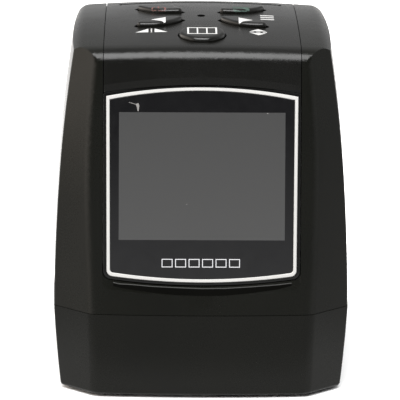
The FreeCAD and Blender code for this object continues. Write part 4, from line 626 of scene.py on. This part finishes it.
# painted shade over the hollow and a painted highlight along the bead
printed("hollow_strip_painted_shade", hollow, on_front, "root", "lip_shade", fine=0.9)
printed("bead_strip_painted_highlight", bead, on_front, "root", "lip_light", thick=0.06, fine=0.9)

# wear on the front of the display: a short curved scratch near one corner and two nicks
scratch = [
    [(-18.95, 60.5), (-18.2, 60.75), (-17.95, 60.0), (-18.15, 58.4), (-18.45, 58.5), (-18.6, 59.5)],
    [(-21.0, 60.95), (-20.9, 61.05), (-18.8, 60.45), (-18.9, 60.3)],
    [(18.3, 57.9), (18.8, 58.1), (18.7, 57.8)],
    [(-4.5, 31.9), (-4.2, 32.1), (-4.25, 31.8)],
]
printed("display_scratch", scratch, on_window, "root", "print_wear", thick=0.008)

# -------------------------------------------------------------------- camera
def camera():
    th, az, roll, d, f = math.radians(15.5), math.radians(-0.80), math.radians(0.44), 0.950, 3203.34
    aim = Vector((-0.00005, 0, 0.04803))
    fwd = Vector((-math.sin(az) * math.cos(th), math.cos(az) * math.cos(th), -math.sin(th)))
    right = Vector((math.cos(az), math.sin(az), 0))
    up = right.cross(fwd)
    r2 = right * math.cos(roll) + up * math.sin(roll)
    u2 = up * math.cos(roll) - right * math.sin(roll)
    cam = bpy.data.cameras.new("camera")
    cam.sensor_width = 36.0
    cam.sensor_fit = "HORIZONTAL"
    cam.lens = f / 400 * 36
    cam.clip_start, cam.clip_end = 0.05, 30
    obj = link(bpy.data.objects.new("camera", cam))
    pos = aim - fwd * d
    obj.matrix_world = Matrix(
        ((r2.x, u2.x, -fwd.x, pos.x), (r2.y, u2.y, -fwd.y, pos.y), (r2.z, u2.z, -fwd.z, pos.z), (0, 0, 0, 1))
    )
    scene.camera = obj


camera()


# --------------------------------------------------------------------- world
def world():
    w = bpy.data.worlds.new("studio")
    scene.world = w
    w.use_nodes = True
    t = w.node_tree
    n, l = t.nodes, t.links
    bg = next(x for x in n if x.type == "BACKGROUND")
    co = n.new("ShaderNodeTexCoord")
    sep = n.new("ShaderNodeSeparateXYZ")
    l.new(co.outputs["Generated"], sep.inputs[0])
    X, Y, Z = sep.outputs

    def rng(v, a, b, c, d):
        m = n.new("ShaderNodeMapRange")
        m.interpolation_type = "SMOOTHSTEP"
        for k, q in zip(("From Min", "From Max", "To Min", "To Max"), (a, b, c, d)):
            m.inputs[k].default_value = q
        l.new(v, m.inputs["Value"])
        return m.outputs["Result"]

    def op(kind, a, b):
        m = n.new("ShaderNodeMath")
        m.operation = kind
        for s, v in zip(m.inputs, (a, b)):
            if isinstance(v, (int, float)):
                s.default_value = v
            else:
                l.new(v, s)
        return m.outputs[0]

    # Y is towards the back, Z up; each term is a soft bank of light or a dark flag
    back = op("MULTIPLY", rng(Y, -0.10, 0.45, 0.0, 1.0), rng(Z, 0.00, 0.45, 0.62, 0.48))
    front = op("MULTIPLY", rng(Y, -0.25, -0.55, 0.0, 1.0), rng(Z, 0.115, 0.18, 1.0, 0.0))
    left = op("MULTIPLY", rng(X, -0.55, -0.85, 0.0, 1.0), rng(Z, 0.0, 0.085, 0.25, 4.0))
    right = op("MULTIPLY", rng(X, 0.55, 0.85, 0.0, 1.0), rng(Z, -0.02, 0.3, 1.0, 0.9))
    top = rng(Z, 0.45, 0.85, 0.0, 0.9)
    total = op("ADD", op("ADD", op("ADD", back, front), op("ADD", left, right)), op("ADD", top, 0.03))
    col = n.new("ShaderNodeCombineXYZ")
    # the bank on the left is a little warm
    l.new(op("ADD", total, op("MULTIPLY", left, 0.10)), col.inputs[0])
    l.new(total, col.inputs[1])
    l.new(op("ADD", total, op("MULTIPLY", left, -0.10)), col.inputs[2])
    l.new(col.outputs[0], bg.inputs["Color"])
    bg.inputs["Strength"].default_value = 1.0


world()


def area(name, pos, target, sx, sy, radiance, color=(1, 1, 1)):
    light = bpy.data.lights.new(name, "AREA")
    light.shape = "RECTANGLE"
    light.size, light.size_y = sx, sy
    light.energy = radiance * math.pi * sx * sy
    light.color = color
    obj = link(bpy.data.objects.new(name, light))
    p, t = Vector(pos), Vector(target)
    obj.location = p
    obj.rotation_mode = "QUATERNION"
    obj.rotation_quaternion = (t - p).to_track_quat("-Z", "Y")
    obj.visible_camera = False
    return obj


def aimed(name, elevation, azimuth, distance, sx, sy, radiance):
    """A soft box seen from the object at an elevation, an azimuth round from the front."""
    e, a = math.radians(elevation), math.radians(azimuth)
    pos = Vector((math.sin(a) * math.cos(e), -math.cos(a) * math.cos(e), math.sin(e))) * distance + Vector((0, -0.02, 0.09))
    area(name, pos, (0, -0.02, 0.09), sx, sy, radiance)


aimed("key_softbox", 54.0, -5.0, 1.5, 1.5, 1.05, 17.0)


def floor():
    """Pale floor: matt grey, with painted light that makes it lighter beside the object and white in the lane behind
    it, where the object's shadow falls.
    """
    s = Shade("floor_paper")
    t = s.mat.node_tree
    geo = t.nodes.new("ShaderNodeNewGeometry")
    sep = t.nodes.new("ShaderNodeSeparateXYZ")
    t.links.new(geo.outputs["Position"], sep.inputs[0])
    wide = t.nodes.new("ShaderNodeMath")
    wide.operation = "ABSOLUTE"
    t.links.new(sep.outputs["X"], wide.inputs[0])
    spread = t.nodes.new("ShaderNodeMath")
    spread.operation = "MULTIPLY_ADD"
    t.links.new(sep.outputs["Y"], spread.inputs[0])
    spread.inputs[1].default_value = -0.14
    t.links.new(wide.outputs[0], spread.inputs[2])
    # painted light: the floor beside and behind the object is made lighter, which hides the object's shadow there
    lane = s.range(spread.outputs[0], 0.07, 0.11, 1, 0)
    near = s.range(sep.outputs["Y"], -0.072, -0.052, 0, 0.45)
    deep = t.nodes.new("ShaderNodeMath")
    deep.operation = "ADD"
    t.links.new(near, deep.inputs[0])
    t.links.new(s.range(sep.outputs["Y"], 0.03, 0.12, 0, 0.72), deep.inputs[1])
    painted_light_mask = t.nodes.new("ShaderNodeMath")
    painted_light_mask.operation = "MULTIPLY"
    t.links.new(lane, painted_light_mask.inputs[0])
    t.links.new(deep.outputs[0], painted_light_mask.inputs[1])
    # the paper behind and to the left is white too, which puts a light edge on the left wall
    wing = t.nodes.new("ShaderNodeMath")
    wing.operation = "MULTIPLY"
    t.links.new(s.range(sep.outputs["Y"], 0.08, 0.2, 0, 1), wing.inputs[0])
    t.links.new(s.range(sep.outputs["X"], -0.05, 0.0, 0.5, 0), wing.inputs[1])
    bright = t.nodes.new("ShaderNodeMath")
    bright.operation = "MAXIMUM"
    t.links.new(painted_light_mask.outputs[0], bright.inputs[0])
    t.links.new(wing.outputs[0], bright.inputs[1])
    n = s.noise(9.0, 3.0)
    grey = s.mix(s.range(n, 0.3, 0.7, 0, 1), (0.36, 0.36, 0.36, 1), (0.38, 0.38, 0.38, 1))
    white = s.mix(s.range(n, 0.3, 0.7, 0, 1), (0.90, 0.90, 0.90, 1), (0.92, 0.92, 0.92, 1))
    s.set(color=s.mix(bright.outputs[0], grey, white), rough=0.9, spec=0.1)
    r = 6.0
    me = bpy.data.meshes.new("floor")
    me.from_pydata([(-r, -r, 0), (r, -r, 0), (r, r, 0), (-r, r, 0)], [], [(0, 1, 2, 3)])
    me.materials.append(s.mat)
    obj = link(bpy.data.objects.new("floor", me))


floor()

# the base is a separate moulding, a touch more matt than the shell above it
NODES["base_housing"].data.materials[0] = M["base_black"]

# ------------------------------------------------------------------- sprung pin
spring = NODES["detent_spring"]
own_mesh(spring)
